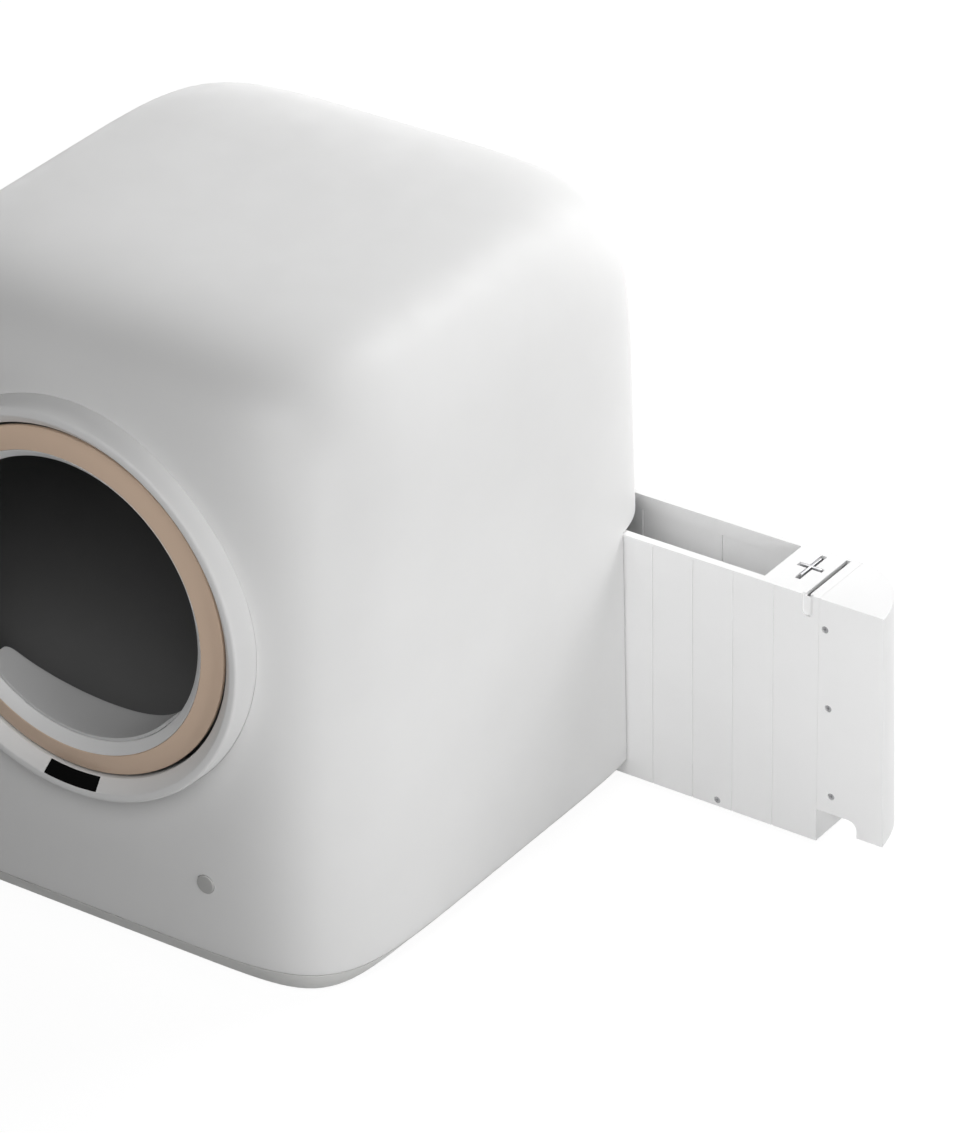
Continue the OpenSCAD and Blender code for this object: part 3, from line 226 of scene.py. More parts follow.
def spun(mesh: bmesh.types.BMesh, corners: Sequence[Corner], centre: Vector, steps: int = 192,
         start: float = 0.0, turn: float = 360.0) -> None:
    """Turns a closed outline about an axis along Y.

    Args:
        mesh: The mesh that gets the ring.
        corners: The outline's corners as radius and Y.
        centre: A point of the axis.
        steps: Steps of the turn.
        start: Angle at which it starts, from +X downwards, in degrees.
        turn: Angle of the turn in degrees.
    """
    angle = math.radians(start)
    known = set(mesh.verts)
    face = outline(mesh, corners, lambda radius, y: Vector(
        (centre.x + radius * math.cos(angle), y, centre.z - radius * math.sin(angle))))
    bmesh.ops.delete(mesh, geom=[face], context="FACES_ONLY")
    verts = [vert for vert in mesh.verts if vert not in known]
    edges = list({edge for vert in verts for edge in vert.link_edges})
    whole = turn >= 360.0
    bmesh.ops.spin(mesh, geom=verts + edges, cent=centre, axis=Vector((0, 1, 0)), angle=math.radians(turn),
                   steps=steps, use_merge=whole)
    made = [vert for vert in mesh.verts if vert not in known]
    bmesh.ops.remove_doubles(mesh, verts=made, dist=WELD)
    if not whole:
        open_edges = [edge for edge in mesh.edges if edge.is_boundary]
        bmesh.ops.holes_fill(mesh, edges=open_edges, sides=0)
    bmesh.ops.recalc_face_normals(mesh, faces=mesh.faces[:])


def block(mesh: bmesh.types.BMesh, low: Vector, high: Vector) -> None:
    """Adds a box between two corners."""
    verts = bmesh.ops.create_cube(mesh, size=1.0)["verts"]
    bmesh.ops.scale(mesh, vec=high - low, verts=verts)
    bmesh.ops.translate(mesh, vec=(low + high) / 2, verts=verts)


def rod(mesh: bmesh.types.BMesh, start: Vector, along: Vector, radius: float, steps: int = 64) -> None:
    """Adds a closed round bar from a point.

    Args:
        mesh: The mesh that gets the bar.
        start: Middle of the bar's first end.
        along: The bar's direction and length.
        radius: The bar's radius.
        steps: Sides of the bar.
    """
    turn = along.to_track_quat("Z", "Y").to_matrix().to_4x4()
    bmesh.ops.create_cone(mesh, cap_ends=True, segments=steps, radius1=radius, radius2=radius,
                          depth=along.length, matrix=Matrix.Translation(start + along / 2) @ turn)


def drawn_out(mesh: bmesh.types.BMesh, corners: Sequence[Corner], place: Callable[[float, float], Vector],
              along: Vector) -> None:
    """Adds a flat outline drawn out along a vector.

    Args:
        mesh: The mesh that gets the solid.
        corners: The outline's corners.
        place: Gives the point in space for a corner's two coordinates.
        along: Direction and length of the solid.
    """
    face = outline(mesh, corners, place)
    made = bmesh.ops.extrude_face_region(mesh, geom=[face], use_keep_orig=True)["geom"]
    verts = [item for item in made if isinstance(item, bmesh.types.BMVert)]
    bmesh.ops.translate(mesh, vec=along, verts=verts)
    bmesh.ops.recalc_face_normals(mesh, faces=mesh.faces[:])


def soften(mesh: bmesh.types.BMesh, width: float,
           keep: Callable[[bmesh.types.BMEdge], bool] = lambda edge: True, segments: int = 2) -> None:
    """Rounds the sharp edges of a mesh.

    Args:
        mesh: The mesh.
        width: Width of the rounding.
        keep: Says whether an edge is rounded.
        segments: Steps of the rounding.
    """
    edges = [edge for edge in mesh.edges
             if edge.is_manifold and edge.calc_face_angle(0.0) > ROUNDED_FROM and keep(edge)]
    bmesh.ops.bevel(mesh, geom=edges, offset=width, offset_type="OFFSET", segments=segments, profile=0.5,
                    affect="EDGES", clamp_overlap=True, material=-1)


def solid(mesh: bmesh.types.BMesh, name: str) -> bpy.types.Object:
    """Makes an object from a mesh, frees the mesh and returns the object."""
    data = bpy.data.meshes.new(name)
    mesh.to_mesh(data)
    mesh.free()
    made = bpy.data.objects.new(name, data)
    bpy.context.scene.collection.objects.link(made)
    return made


def applied(thing: bpy.types.Object) -> None:
    """Applies an object's modifiers to its mesh."""
    bpy.context.view_layer.update()
    worked = thing.evaluated_get(bpy.context.evaluated_depsgraph_get())
    data = bpy.data.meshes.new_from_object(worked)
    old = thing.data
    thing.modifiers.clear()
    thing.data = data
    data.name = thing.name
    bpy.data.meshes.remove(old)


def cut(thing: bpy.types.Object, tools: bmesh.types.BMesh) -> bpy.types.Object:
    """Takes a mesh of closed tools away from an object.

    Args:
        thing: The object that is cut.
        tools: The mesh of the tools, which is freed.

    Returns:
        The object.
    """
    bmesh.ops.recalc_face_normals(tools, faces=tools.faces[:])
    tool = solid(tools, "cutter")
    modifier = thing.modifiers.new("cut", "BOOLEAN")
    modifier.operation = "DIFFERENCE"
    modifier.solver = "EXACT"
    modifier.use_self = True
    modifier.object = tool
    applied(thing)
    data = tool.data
    bpy.data.objects.remove(tool)
    bpy.data.meshes.remove(data)
    return thing


def merged(node: str) -> bmesh.types.BMesh:
    """Gives a CAD node's mesh as a merged copy with its flat faces whole."""
    mesh = bmesh.new()
    mesh.from_mesh(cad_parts[node].data)
    bmesh.ops.remove_doubles(mesh, verts=mesh.verts[:], dist=WELD)
    bmesh.ops.dissolve_limit(mesh, angle_limit=math.radians(0.4), verts=mesh.verts[:], edges=mesh.edges[:])
    return mesh


def dressed(thing: bpy.types.Object, surface: Surface, body: str, nodes: Iterable[str],
            weighted: bool = False) -> None:
    """Shades, finishes and ties a piece that stands for CAD nodes.

    Args:
        thing: The piece.
        surface: Its finish.
        body: The CAD body that it rides on.
        nodes: The CAD nodes that it replaces.
        weighted: Whether large flat faces keep their own normal beside their rounded edges.
    """
    thing.data.materials.clear()
    thing.data.materials.append(surface.material)
    thing.data.polygons.foreach_set("use_smooth", [True] * len(thing.data.polygons))
    thing.data.polygons.foreach_set("material_index", [0] * len(thing.data.polygons))
    thing.data.set_sharp_from_angle(angle=SHARP_FROM)
    if weighted:
        normals = thing.modifiers.new("normals", "WEIGHTED_NORMAL")
        normals.keep_sharp = True
        applied(thing)
    thing.data.update()
    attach(thing, body)
    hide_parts(*nodes)
    log.info("%s: %d faces on %s", thing.name, len(thing.data.polygons), body)


# Forms shared by several pieces

@dataclass(frozen=True)
class BodyForm:
    """The casing's outer form: a superellipse in plan whose power and size change with height."""

    width: float = 0.478
    depth: float = 0.490
    height: float = 0.540
    seam: float = 0.020
    dome_start: float = 0.297
    dome_power: float = 5.8
    plan_power_low: float = 6.3
    plan_power_high: float = 5.2
    draft_share: float = 0.006

    def power(self, z: float) -> float:
        """The plan's power at a height."""
        return self.plan_power_low + (self.plan_power_high - self.plan_power_low) * z / self.height

    def half(self, size: float, z: float, inset: float) -> float:
        """Half of the plan's width or depth at a height, without the dome."""
        return size / 2 - inset - self.draft_share * max(z - self.seam, 0.0)

    def on_plan(self, x: float, y: float, z: float, inset: float = 0.0, share: float = 1.0) -> Vector:
        """The point of the plan's edge in a direction.

        Args:
            x: The direction's share along X.
            y: The direction's share along Y.
            z: Height of the plan.
            inset: Distance that the plan is drawn in.
            share: Share of the way from the middle to the edge.

        Returns:
            The point.
        """
        power = self.power(z)
        reach = share / (abs(x) ** power + abs(y) ** power) ** (1.0 / power)
        return Vector((self.half(self.width, z, inset) * reach * x,
                       self.half(self.depth, z, inset) * reach * y, z))

    def wrap(self, place: Vector, low: float) -> Vector:
        """Moves a point of a cube from -1 to 1 onto the form above a height.

        Args:
            place: The point on the cube's side or top.
            low: Height at which the cube's underside lies.

        Returns:
            The point on the form.
        """
        dome = self.height - self.dome_start
        edge = 0.5 ** (1.0 / self.dome_power)
        off_axis = max(abs(place.x), abs(place.y))
        if place.z > 1.0 - WELD:
            share = off_axis * edge
            z = self.dome_start + dome * (1.0 - share ** self.dome_power) ** (1.0 / self.dome_power)
            if off_axis < WELD:
                return Vector((0.0, 0.0, z))
            return self.on_plan(place.x / off_axis, place.y / off_axis, z, share=share)
        z = low + (self.dome_start + dome * edge - low) * (place.z + 1.0) / 2
        rise = max(z - self.dome_start, 0.0) / dome
        share = (1.0 - rise ** self.dome_power) ** (1.0 / self.dome_power)
        return self.on_plan(place.x, place.y, z, share=share)

    def side_x(self, y: float, z: float) -> float:
        """X of the form's right side at a Y and a height."""
        power = self.power(z)
        share = (1.0 - (abs(y) / self.half(self.depth, z, 0.0)) ** power) ** (1.0 / power)
        return self.half(self.width, z, 0.0) * share


@dataclass(frozen=True)
class DrawerBay:
    """The space that the drawer slides in, open at the casing's right side."""

    near_y: float = 0.1672
    far_y: float = 0.2345
    low: float = 0.0045
    top: float = 0.2335
    chamfer_y: float = 0.016
    chamfer_z: float = 0.0127

    def tool(self, mesh: bmesh.types.BMesh, start: float, top: float) -> None:
        """Adds the bay as a cutting tool.

        Args:
            mesh: The mesh that gets the tool.
            start: X at which the bay starts.
            top: Height of the bay's top.
        """
        corners = [Corner(self.near_y, self.low), Corner(self.far_y - self.chamfer_y, self.low),
                   Corner(self.far_y, self.low + self.chamfer_z), Corner(self.far_y, top),
                   Corner(self.near_y, top)]
        drawn_out(mesh, corners, lambda y, z: Vector((start, y, z)), Vector((CLEAR_X - start, 0.0, 0.0)))


FORM = BodyForm()
BAY = DrawerBay()
AXIS = Vector((0.0, 0.0, 0.303))
FRONT = -FORM.depth / 2
# Middle of the power button, at any Y
BUTTON = Vector((0.1163, 0.0, 0.0826))


def turned(name: str, corners: Sequence[Corner], surface: Surface, body: str, node: str,
           centre: Vector = AXIS, steps: int = 192) -> None:
    """Builds and dresses a piece that is turned about an axis along Y.

    Args:
        name: The piece's name.
        corners: Its outline's corners as radius and Y.
        surface: Its finish.
        body: The CAD body that it rides on.
        node: The CAD node that it replaces.
        centre: A point of the axis.
        steps: Steps of the turn.
    """
    mesh = bmesh.new()
    spun(mesh, corners, centre, steps)
    dressed(solid(mesh, name), surface, body, [node])


@dataclass(frozen=True)
class CrossScrew:
    """A screw with a flat head and a cross recess."""

    steps: int
    head_height: float
    length: float
    cross: tuple[float, float]
    cross_depth: float
    head: float = 0.0028
    shank: float = 0.0015
    lap: float = 0.0001
    edge_round: float = 0.0003

    def build(self, name: str, seats: Iterable[Vector], along: Vector, body: str, node: str) -> None:
        """Builds screws that point along Y or Z as one piece.

        Args:
            name: The piece's name.
            seats: The middles of the heads' outer faces.
            along: The screws' direction, of length 1.
            body: The CAD body that they ride on.
            node: The CAD node that they replace.
        """
        mesh = bmesh.new()
        recess = bmesh.new()
        for seat in seats:
            rod(mesh, seat, along * self.head_height, self.head, self.steps)
            rod(mesh, seat + along * (self.head_height - self.lap), along * self.length, self.shank, 24)
            for wide, tall in (self.cross, self.cross[::-1]):
                half = Vector((wide, tall * along.z, tall * along.y))
                block(recess, seat - half - along * OVER, seat + half + along * self.cross_depth)
        soften(mesh, self.edge_round)
        dressed(cut(solid(mesh, name), recess), Surface.STEEL, body, [node])


# Sub-assemblies

@dataclass
class Housing:
    """The casing, the base, the feet and the screws that join them."""

    wall: float = 0.003
    cuts: int = 63
    mouth_radius: float = 0.1693
    mouth_depth: float = 0.03
    button_hole: float = 0.0083
    inlet_place: tuple[float, float] = (0.130, 0.042)
    inlet_hole: float = 0.0063
    hole_depth: float = 0.02
    cap_edge: float = 0.057
    cap_low: float = 0.01
    opening_start: float = 0.15
    base_steps: int = 288
    base_low: float = 0.003
    chamfer: float = 0.015
    foot_insets: tuple[float, float] = (0.016, 0.010)
    foot_power: float = 8.6
    seam_gap: float = 0.0008
    seam_step: float = 0.0005
    seam_round: float = 0.0009
    rim_up: float = 0.006
    rim_wall: float = 0.0025
    bay_start: float = -0.170
    bay_height: float = 0.1
    column_insets: tuple[float, float] = (0.025, 0.026)
    column_x: float = 0.165
    column_y: float = 0.105
    screw: CrossScrew = CrossScrew(32, 0.0022, 0.03, (0.0018, 0.0004), 0.001)
    screw_well: float = 0.0031
    well_depth: float = 0.007
    foot_radius: float = 0.015
    foot_height: float = 0.0025
    stem_radius: float = 0.006
    stem_hole: float = 0.0063
    stem_hole_depth: float = 0.01

    def casing(self) -> None:
        """Builds the one-piece casing with its openings."""
        mesh = bmesh.new()
        bmesh.ops.create_cube(mesh, size=2.0)
        bmesh.ops.subdivide_edges(mesh, edges=mesh.edges[:], cuts=self.cuts, use_grid_fill=True)
        under = [face for face in mesh.faces if all(vert.co.z < WELD - 1.0 for vert in face.verts)]
        bmesh.ops.delete(mesh, geom=under, context="FACES")
        for vert in mesh.verts:
            vert.co = FORM.wrap(vert.co, FORM.seam)
        bmesh.ops.recalc_face_normals(mesh, faces=mesh.faces[:])
        thing = solid(mesh, "casing")
        wall = thing.modifiers.new("wall", "SOLIDIFY")
        wall.thickness = self.wall
        wall.offset = -1.0
        applied(thing)
        mesh = bmesh.new()
        mesh.from_mesh(thing.data)
        soften(mesh, self.seam_round, lambda edge: abs(edge.verts[0].co.z - FORM.seam) < WELD
               and self._outside(edge, self.wall / 2), segments=3)
        mesh.to_mesh(thing.data)
        mesh.free()

        tools = bmesh.new()
        front, left = FRONT - OVER, -FORM.width / 2 - OVER
        rod(tools, Vector((0, front, AXIS.z)), Vector((0, self.mouth_depth, 0)), self.mouth_radius, 256)
        rod(tools, Vector((BUTTON.x, front, BUTTON.z)), Vector((0, self.hole_depth, 0)), self.button_hole)
        rod(tools, Vector((left, *self.inlet_place)), Vector((self.hole_depth, 0, 0)), self.inlet_hole)
        cut(thing, tools)
        bay = bmesh.new()
        BAY.tool(bay, self.opening_start, BAY.top)
        cut(thing, bay)
        corner = bmesh.new()
        block(corner, Vector((FORM.width / 2 - self.cap_edge, BAY.near_y, self.cap_low)),
              Vector((CLEAR_X, CLEAR_X, BAY.top)))
        cut(thing, corner)
        dressed(thing, Surface.SHELL, "housing", ["outer_shell"])

    def base(self) -> None:
        """Builds the base with its chamfer, its upstand and the drawer's bay."""
        top = FORM.seam - self.seam_gap
        inner = self.wall + self.seam_gap
        levels = [(top, self.seam_step), (top, inner), (FORM.seam + self.rim_up, inner),
                  (FORM.seam + self.rim_up, inner + self.rim_wall),
                  (2 * self.base_low, self.chamfer + self.rim_wall)]
        mesh = bmesh.new()
        bmesh.ops.create_circle(mesh, cap_ends=True, radius=1.0, segments=self.base_steps)
        for vert in mesh.verts:
            vert.co = self._foot_line(vert.co.x, vert.co.y)
        loop = mesh.edges[:]
        for z, inset in levels:
            made = bmesh.ops.extrude_edge_only(mesh, edges=loop)["geom"]
            loop = [item for item in made if isinstance(item, bmesh.types.BMEdge)]
            for vert in (item for item in made if isinstance(item, bmesh.types.BMVert)):
                vert.co = FORM.on_plan(vert.co.x / FORM.width, vert.co.y / FORM.depth, z, inset)
        bmesh.ops.holes_fill(mesh, edges=loop, sides=0)
        bmesh.ops.recalc_face_normals(mesh, faces=mesh.faces[:])
        soften(mesh, self.seam_round, lambda edge: edge.verts[0].co.z < top + WELD
               and self._outside(edge, self.chamfer + self.wall / 2), segments=3)
        thing = solid(mesh, "base_tray")

        tools = bmesh.new()
        BAY.tool(tools, self.bay_start, self.bay_height)
        for x, y in self._foot_places():
            rod(tools, Vector((x, y, 0.0)), Vector((0, 0, self.stem_hole_depth)), self.stem_hole)
        for place in self._columns():
            rod(tools, place, Vector((0, 0, self.well_depth)), self.screw_well, 32)
        cut(thing, tools)
        dressed(thing, Surface.BASE, "housing", ["base_plate"])

    def _foot_line(self, x: float, y: float) -> Vector:
        """The base's lower edge in a direction, squarer at the corners than the seam."""
        reach = 1.0 / (abs(x) ** self.foot_power + abs(y) ** self.foot_power) ** (1.0 / self.foot_power)
        side, front = self.foot_insets
        return Vector(((FORM.width / 2 - side) * reach * x, (FORM.depth / 2 - front) * reach * y,
                       self.base_low))

    @staticmethod
    def _outside(edge: bmesh.types.BMEdge, inset: float) -> bool:
        """Says whether an edge is level and lies outside the plan drawn in by an inset."""
        first, second = (vert.co for vert in edge.verts)
        middle = (first + second) / 2
        rim = FORM.on_plan(middle.x / FORM.width, middle.y / FORM.depth, middle.z, inset)
        return abs(first.z - second.z) < WELD and middle.to_2d().length > rim.to_2d().length

    def _columns(self) -> list[Vector]:
        """The places of the screws that join base and casing."""
        side, front = FORM.width / 2 - self.column_insets[0], FRONT + self.column_insets[1]
        return [Vector((s * side, t * self.column_y, 0.0)) for s in (-1, 1) for t in (-1, 1)] + [
            Vector((s * self.column_x, front, 0.0)) for s in (-1, 1)]

    def _foot_places(self) -> list[tuple[float, float]]:
        """X and Y of the four feet."""
        low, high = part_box("feet")
        return [(x, y) for x in (low.x + self.foot_radius, high.x - self.foot_radius)
                for y in (low.y + self.foot_radius, high.y - self.foot_radius)]

    def screws(self) -> None:
        """Builds the screws under the base."""
        low = Vector((0, 0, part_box("shell_screws")[0].z))
        seats = [place + low for place in self._columns()]
        self.screw.build("base_screws", seats, Vector((0, 0, 1)), "housing", "shell_screws")

    def feet(self) -> None:
        """Builds the rubber feet with a grooved sole."""
        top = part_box("feet")[1].z
        radius, rise, stem = self.foot_radius, self.foot_height, self.stem_radius
        corners = [Corner(0.0001, 0.0002), Corner(radius - 0.0025, 0.0002), Corner(radius - 0.0020, 0.0008),
                   Corner(radius - 0.0015, 0.0), Corner(radius, 0.0, 0.0006), Corner(radius, rise, 0.0005),
                   Corner(stem, rise), Corner(stem, top), Corner(0.0001, top)]
        mesh = bmesh.new()
        for x, y in self._foot_places():
            known = set(mesh.verts)
            face = outline(mesh, corners, lambda r, z: Vector((x + r, y, z)))
            bmesh.ops.delete(mesh, geom=[face], context="FACES_ONLY")
            fresh = [vert for vert in mesh.verts if vert not in known]
            edges = list({edge for vert in fresh for edge in vert.link_edges})
            bmesh.ops.spin(mesh, geom=fresh + edges, cent=Vector((x, y, 0)), axis=Vector((0, 0, 1)),
                           angle=math.tau, steps=64, use_merge=True)
        bmesh.ops.recalc_face_normals(mesh, faces=mesh.faces[:])
        dressed(solid(mesh, "rubber_feet"), Surface.RUBBER, "housing", ["feet"])

    def build(self) -> None:
        """Builds the housing."""
        self.casing()
        self.base()
        self.screws()
        self.feet()


@dataclass
class Mouth:
    """The collar, the window and the rings round the way in."""

    collar_radius: float = 0.169
    crest_outer: float = 0.168
    crest_inner: float = 0.161
    collar_inner: float = 0.1513
    proud: float = 0.0157
    bevel_proud: float = 0.006
    flange_y: float = -0.227
    flange: float = 0.006
    collar_wall: float = 0.0025
    window_angle: float = 90.3
    window_span: float = 18.2
    window_shares: tuple[float, float] = (0.06, 0.97)
    window_gap: float = 0.00015
    window_wall: float = 0.0013
    window_round: float = 0.0002
    window_pocket: tuple[float, float] = (-0.001, 0.005)
    ring_inner: float = 0.130
    ring_outer: float = 0.1484
    ring_front: float = -0.255
    ring_edge: float = -0.2503
    ring_wall: float = 0.003
    ring_gap: float = 0.0003
    entry: float = 0.1213
    entry_end: float = -0.232
    seat: float = 0.1427
    lip: float = 0.0025

    def _bevel(self, share: float, sink: float) -> tuple[float, float]:
        """Radius and Y of a point of the collar's bevel, at a share of its width and sunk below it."""
        rise = self.proud - self.bevel_proud
        wide = self.crest_inner - self.collar_inner
        slope = Vector((wide, -rise)).normalized()
        return (self.collar_inner + share * wide - sink * slope.y,
                FRONT - self.bevel_proud - share * rise + sink * slope.x)

    def _strip(self, grow: float, near: float, deep: float) -> list[Corner]:
        """The window's cross-section between two depths below the bevel."""
        length = math.hypot(self.crest_inner - self.collar_inner, self.proud - self.bevel_proud)
        low, high = self.window_shares
        low, high = low - grow / length, high + grow / length
        return [Corner(*self._bevel(share, sink)) for share, sink in
                ((low, near), (high, near), (high, deep), (low, deep))]

    def collar(self) -> None:
        """Builds the collar and cuts the window's place."""
        crest = FRONT - self.proud
        wall = self.collar_wall
        corners = [Corner(self.collar_inner, self.flange_y), Corner(*self._bevel(0.0, 0.0), 0.0008),
                   Corner(*self._bevel(1.0, 0.0), 0.0008), Corner(self.crest_outer, crest, 0.0026),
                   Corner(self.collar_radius, FRONT + 0.0012), Corner(self.collar_radius, self.flange_y),
                   Corner(self.collar_radius + self.flange, self.flange_y),
                   Corner(self.collar_radius + self.flange, self.flange_y + wall),
                   Corner(self.collar_radius - wall, self.flange_y + wall),
                   Corner(self.collar_radius - wall, FRONT - 0.002),
                   Corner(self.crest_outer - wall, crest + 2 * wall),
                   Corner(self.crest_inner + wall / 2, crest + 0.0035),
                   Corner(self.collar_inner + wall, FRONT - self.bevel_proud + wall),
                   Corner(self.collar_inner + wall, self.flange_y)]
        mesh = bmesh.new()
        spun(mesh, corners, AXIS, steps=256)
        thing = solid(mesh, "mouth_collar")
        tool = bmesh.new()
        extra = math.degrees(self.window_gap / self.collar_inner)
        spun(tool, self._strip(self.window_gap, *self.window_pocket), AXIS, 24,
             self.window_angle - self.window_span / 2 - extra, self.window_span + 2 * extra)
        dressed(cut(thing, tool), Surface.SHELL, "housing", ["front_collar"])

    def window(self) -> None:
        """Builds the black display window, flush with the bevel."""
        mesh = bmesh.new()
        spun(mesh, self._strip(0.0, 0.0, self.window_wall), AXIS, 24,
             self.window_angle - self.window_span / 2, self.window_span)
        soften(mesh, self.window_round)
        dressed(solid(mesh, "display_glass"), Surface.GLASS, "housing", ["display_window"])

    def ring(self) -> None:
        """Builds the coloured ring on the drum."""
        corners = [Corner(self.ring_inner, self.ring_front, 0.0007),
                   Corner(self.ring_outer, self.ring_edge, 0.0007),
                   Corner(self.ring_outer, self.ring_edge + self.ring_wall, 0.0003),
                   Corner(self.ring_inner, self.ring_front + self.ring_wall, 0.0003)]
        turned("entry_ring", corners, Surface.TRIM, "drum", "trim_ring", steps=256)

    def funnel(self) -> None:
        """Builds the white funnel behind the ring."""
        edge = self.ring_inner - self.ring_gap
        throat = FRONT - self.bevel_proud / 3
        corners = [Corner(edge, self.ring_front, 0.0006),
                   Corner(self.entry + self.lip, throat - self.lip, 0.002),
                   Corner(self.entry, throat, 0.0015), Corner(self.entry, self.entry_end, 0.0006),
                   Corner(self.seat, self.entry_end, 0.0006), Corner(self.seat, self.entry_end - self.lip),
                   Corner(self.entry + self.lip, self.entry_end - self.lip),
                   Corner(self.entry + self.lip, throat + self.lip),
                   Corner(edge, self.ring_front + self.ring_wall)]
        turned("entry_funnel", corners, Surface.SHELL, "drum", "mouth_rim", steps=256)

    def build(self) -> None:
        """Builds the mouth."""
        self.collar()
        self.window()
        self.ring()
        self.funnel()


@dataclass
class LitterGuard:
    """The curved tongue at the bottom of the way in."""

    radius: float = 0.121
    wall: float = 0.0025
    span: float = 94.0
    start_y: float = FRONT - 0.002
    length: float = 0.046
    edge_radius: float = 0.191
    corner_radius: float = 0.010
    edge_round: float = 0.0007
    across: int = 72
    along: int = 12

    def _rear(self, x: float) -> float:
        """Y of the guard's rear edge at an X: a long arc with rounded ends."""
        half = self.radius * math.sin(math.radians(self.span / 2))
        middle = self.start_y + self.length - self.edge_radius
        turn_x = half - self.corner_radius
        turn_y = middle + math.sqrt((self.edge_radius - self.corner_radius) ** 2 - turn_x ** 2)
        tangent = turn_x * self.edge_radius / (self.edge_radius - self.corner_radius)
        if abs(x) < tangent:
            return middle + math.sqrt(self.edge_radius ** 2 - x ** 2)
        return turn_y + math.sqrt(max(self.corner_radius ** 2 - (abs(x) - turn_x) ** 2, 0.0))

    def build(self) -> None:
        """Builds the guard as a sheet that is bent, edged and given its wall."""
        half = self.radius * math.sin(math.radians(self.span / 2))
        mesh = bmesh.new()
        bmesh.ops.create_grid(mesh, x_segments=self.across, y_segments=self.along, size=1.0)
        for vert in mesh.verts:
            x = half * math.sin(vert.co.x * math.pi / 2)
            y = self.start_y + (self._rear(x) - self.start_y) * (vert.co.y + 1.0) / 2
            vert.co = Vector((x, y, AXIS.z - math.sqrt(self.radius ** 2 - x ** 2)))
        bmesh.ops.recalc_face_normals(mesh, faces=mesh.faces[:])
        if sum(face.normal.z for face in mesh.faces) > 0:
            bmesh.ops.reverse_faces(mesh, faces=mesh.faces[:])
        thing = solid(mesh, "guard_tongue")
        wall = thing.modifiers.new("wall", "SOLIDIFY")
        wall.thickness = self.wall
        wall.offset = -1.0
        edge = thing.modifiers.new("edge", "BEVEL")
        edge.width = self.edge_round
        edge.segments = 3
        edge.limit_method = "ANGLE"
        edge.angle_limit = math.radians(50)
        applied(thing)
        dressed(thing, Surface.GUARD, "drum", ["litter_guard"])


@dataclass
class Drum:
    """The two halves of the turning drum."""

    radius: float = 0.205
    wall: float = 0.003
    neck: float = 0.146
    neck_front: float = -0.24761
    neck_back: float = -0.214
    shoulder: float = 0.074
    race: float = 0.002
    race_width: float = 0.020
    race_places: tuple[float, float] = (-0.115, 0.095)
    flange: float = 0.006
    flange_wall: float = 0.004
    gear_seat: float = 0.190
    step_y: float = 0.127
    rear_y: float = 0.146
    outlet: float = 0.060
    outlet_end: float = 0.1615
    curve_steps: int = 20

    def _shoulder(self, inset: float) -> list[Corner]:
        """The quarter ellipse from the neck to the drum's full radius."""
        turn_y = self.neck_back + self.shoulder
        angles = [math.pi / 2 * step / self.curve_steps for step in range(self.curve_steps + 1)]
        return [Corner(self.neck - inset + (self.radius - self.neck) * math.sin(angle),
                       turn_y - (self.shoulder - inset) * math.cos(angle)) for angle in angles]

    def _raceway(self, y: float) -> list[Corner]:
        """The raised band that a pair of rollers bears on."""
        half = self.race_width / 2
        return [Corner(self.radius, y - half - self.race), Corner(self.radius + self.race, y - half),
                Corner(self.radius + self.race, y + half), Corner(self.radius, y + half + self.race)]

    def front(self) -> None:
        """Builds the front half: neck, shoulder, raceway and flange."""
        rim = self.radius + self.flange
        corners = ([Corner(self.neck, self.neck_front)] + self._shoulder(0.0)
                   + self._raceway(self.race_places[0])
                   + [Corner(self.radius, -self.flange_wall), Corner(rim, -self.flange_wall, 0.001),
                      Corner(rim, 0.0), Corner(self.radius - self.wall, 0.0)]
                   + self._shoulder(self.wall)[::-1] + [Corner(self.neck - self.wall, self.neck_front)])
        turned("drum_front_bowl", corners, Surface.DRUM, "drum", "drum_front_shell")

    def rear(self) -> None:
        """Builds the rear half: flange, raceway, seat of the toothed ring, rear wall and waste outlet."""
        rim, inner, wall = self.radius + self.flange, self.radius - self.wall, self.wall
        corners = ([Corner(inner, 0.0), Corner(rim, 0.0), Corner(rim, self.flange_wall, 0.001),
                    Corner(self.radius, self.flange_wall)] + self._raceway(self.race_places[1])
                   + [Corner(self.radius, self.step_y - wall), Corner(self.gear_seat, self.step_y),
                      Corner(self.gear_seat, self.rear_y, 0.002), Corner(self.outlet, self.rear_y, 0.002),
                      Corner(self.outlet, self.outlet_end), Corner(self.outlet - wall, self.outlet_end),
                      Corner(self.outlet - wall, self.rear_y - wall, 0.0025),
                      Corner(self.gear_seat - wall, self.rear_y - wall, 0.006),
                      Corner(self.gear_seat - wall, self.step_y - wall, 0.002),
                      Corner(inner, self.step_y - 1.5 * wall, 0.002)])
        turned("drum_rear_bowl", corners, Surface.DRUM, "drum", "drum_rear_shell")

    def build(self) -> None:
        """Builds the drum."""
        self.front()
        self.rear()


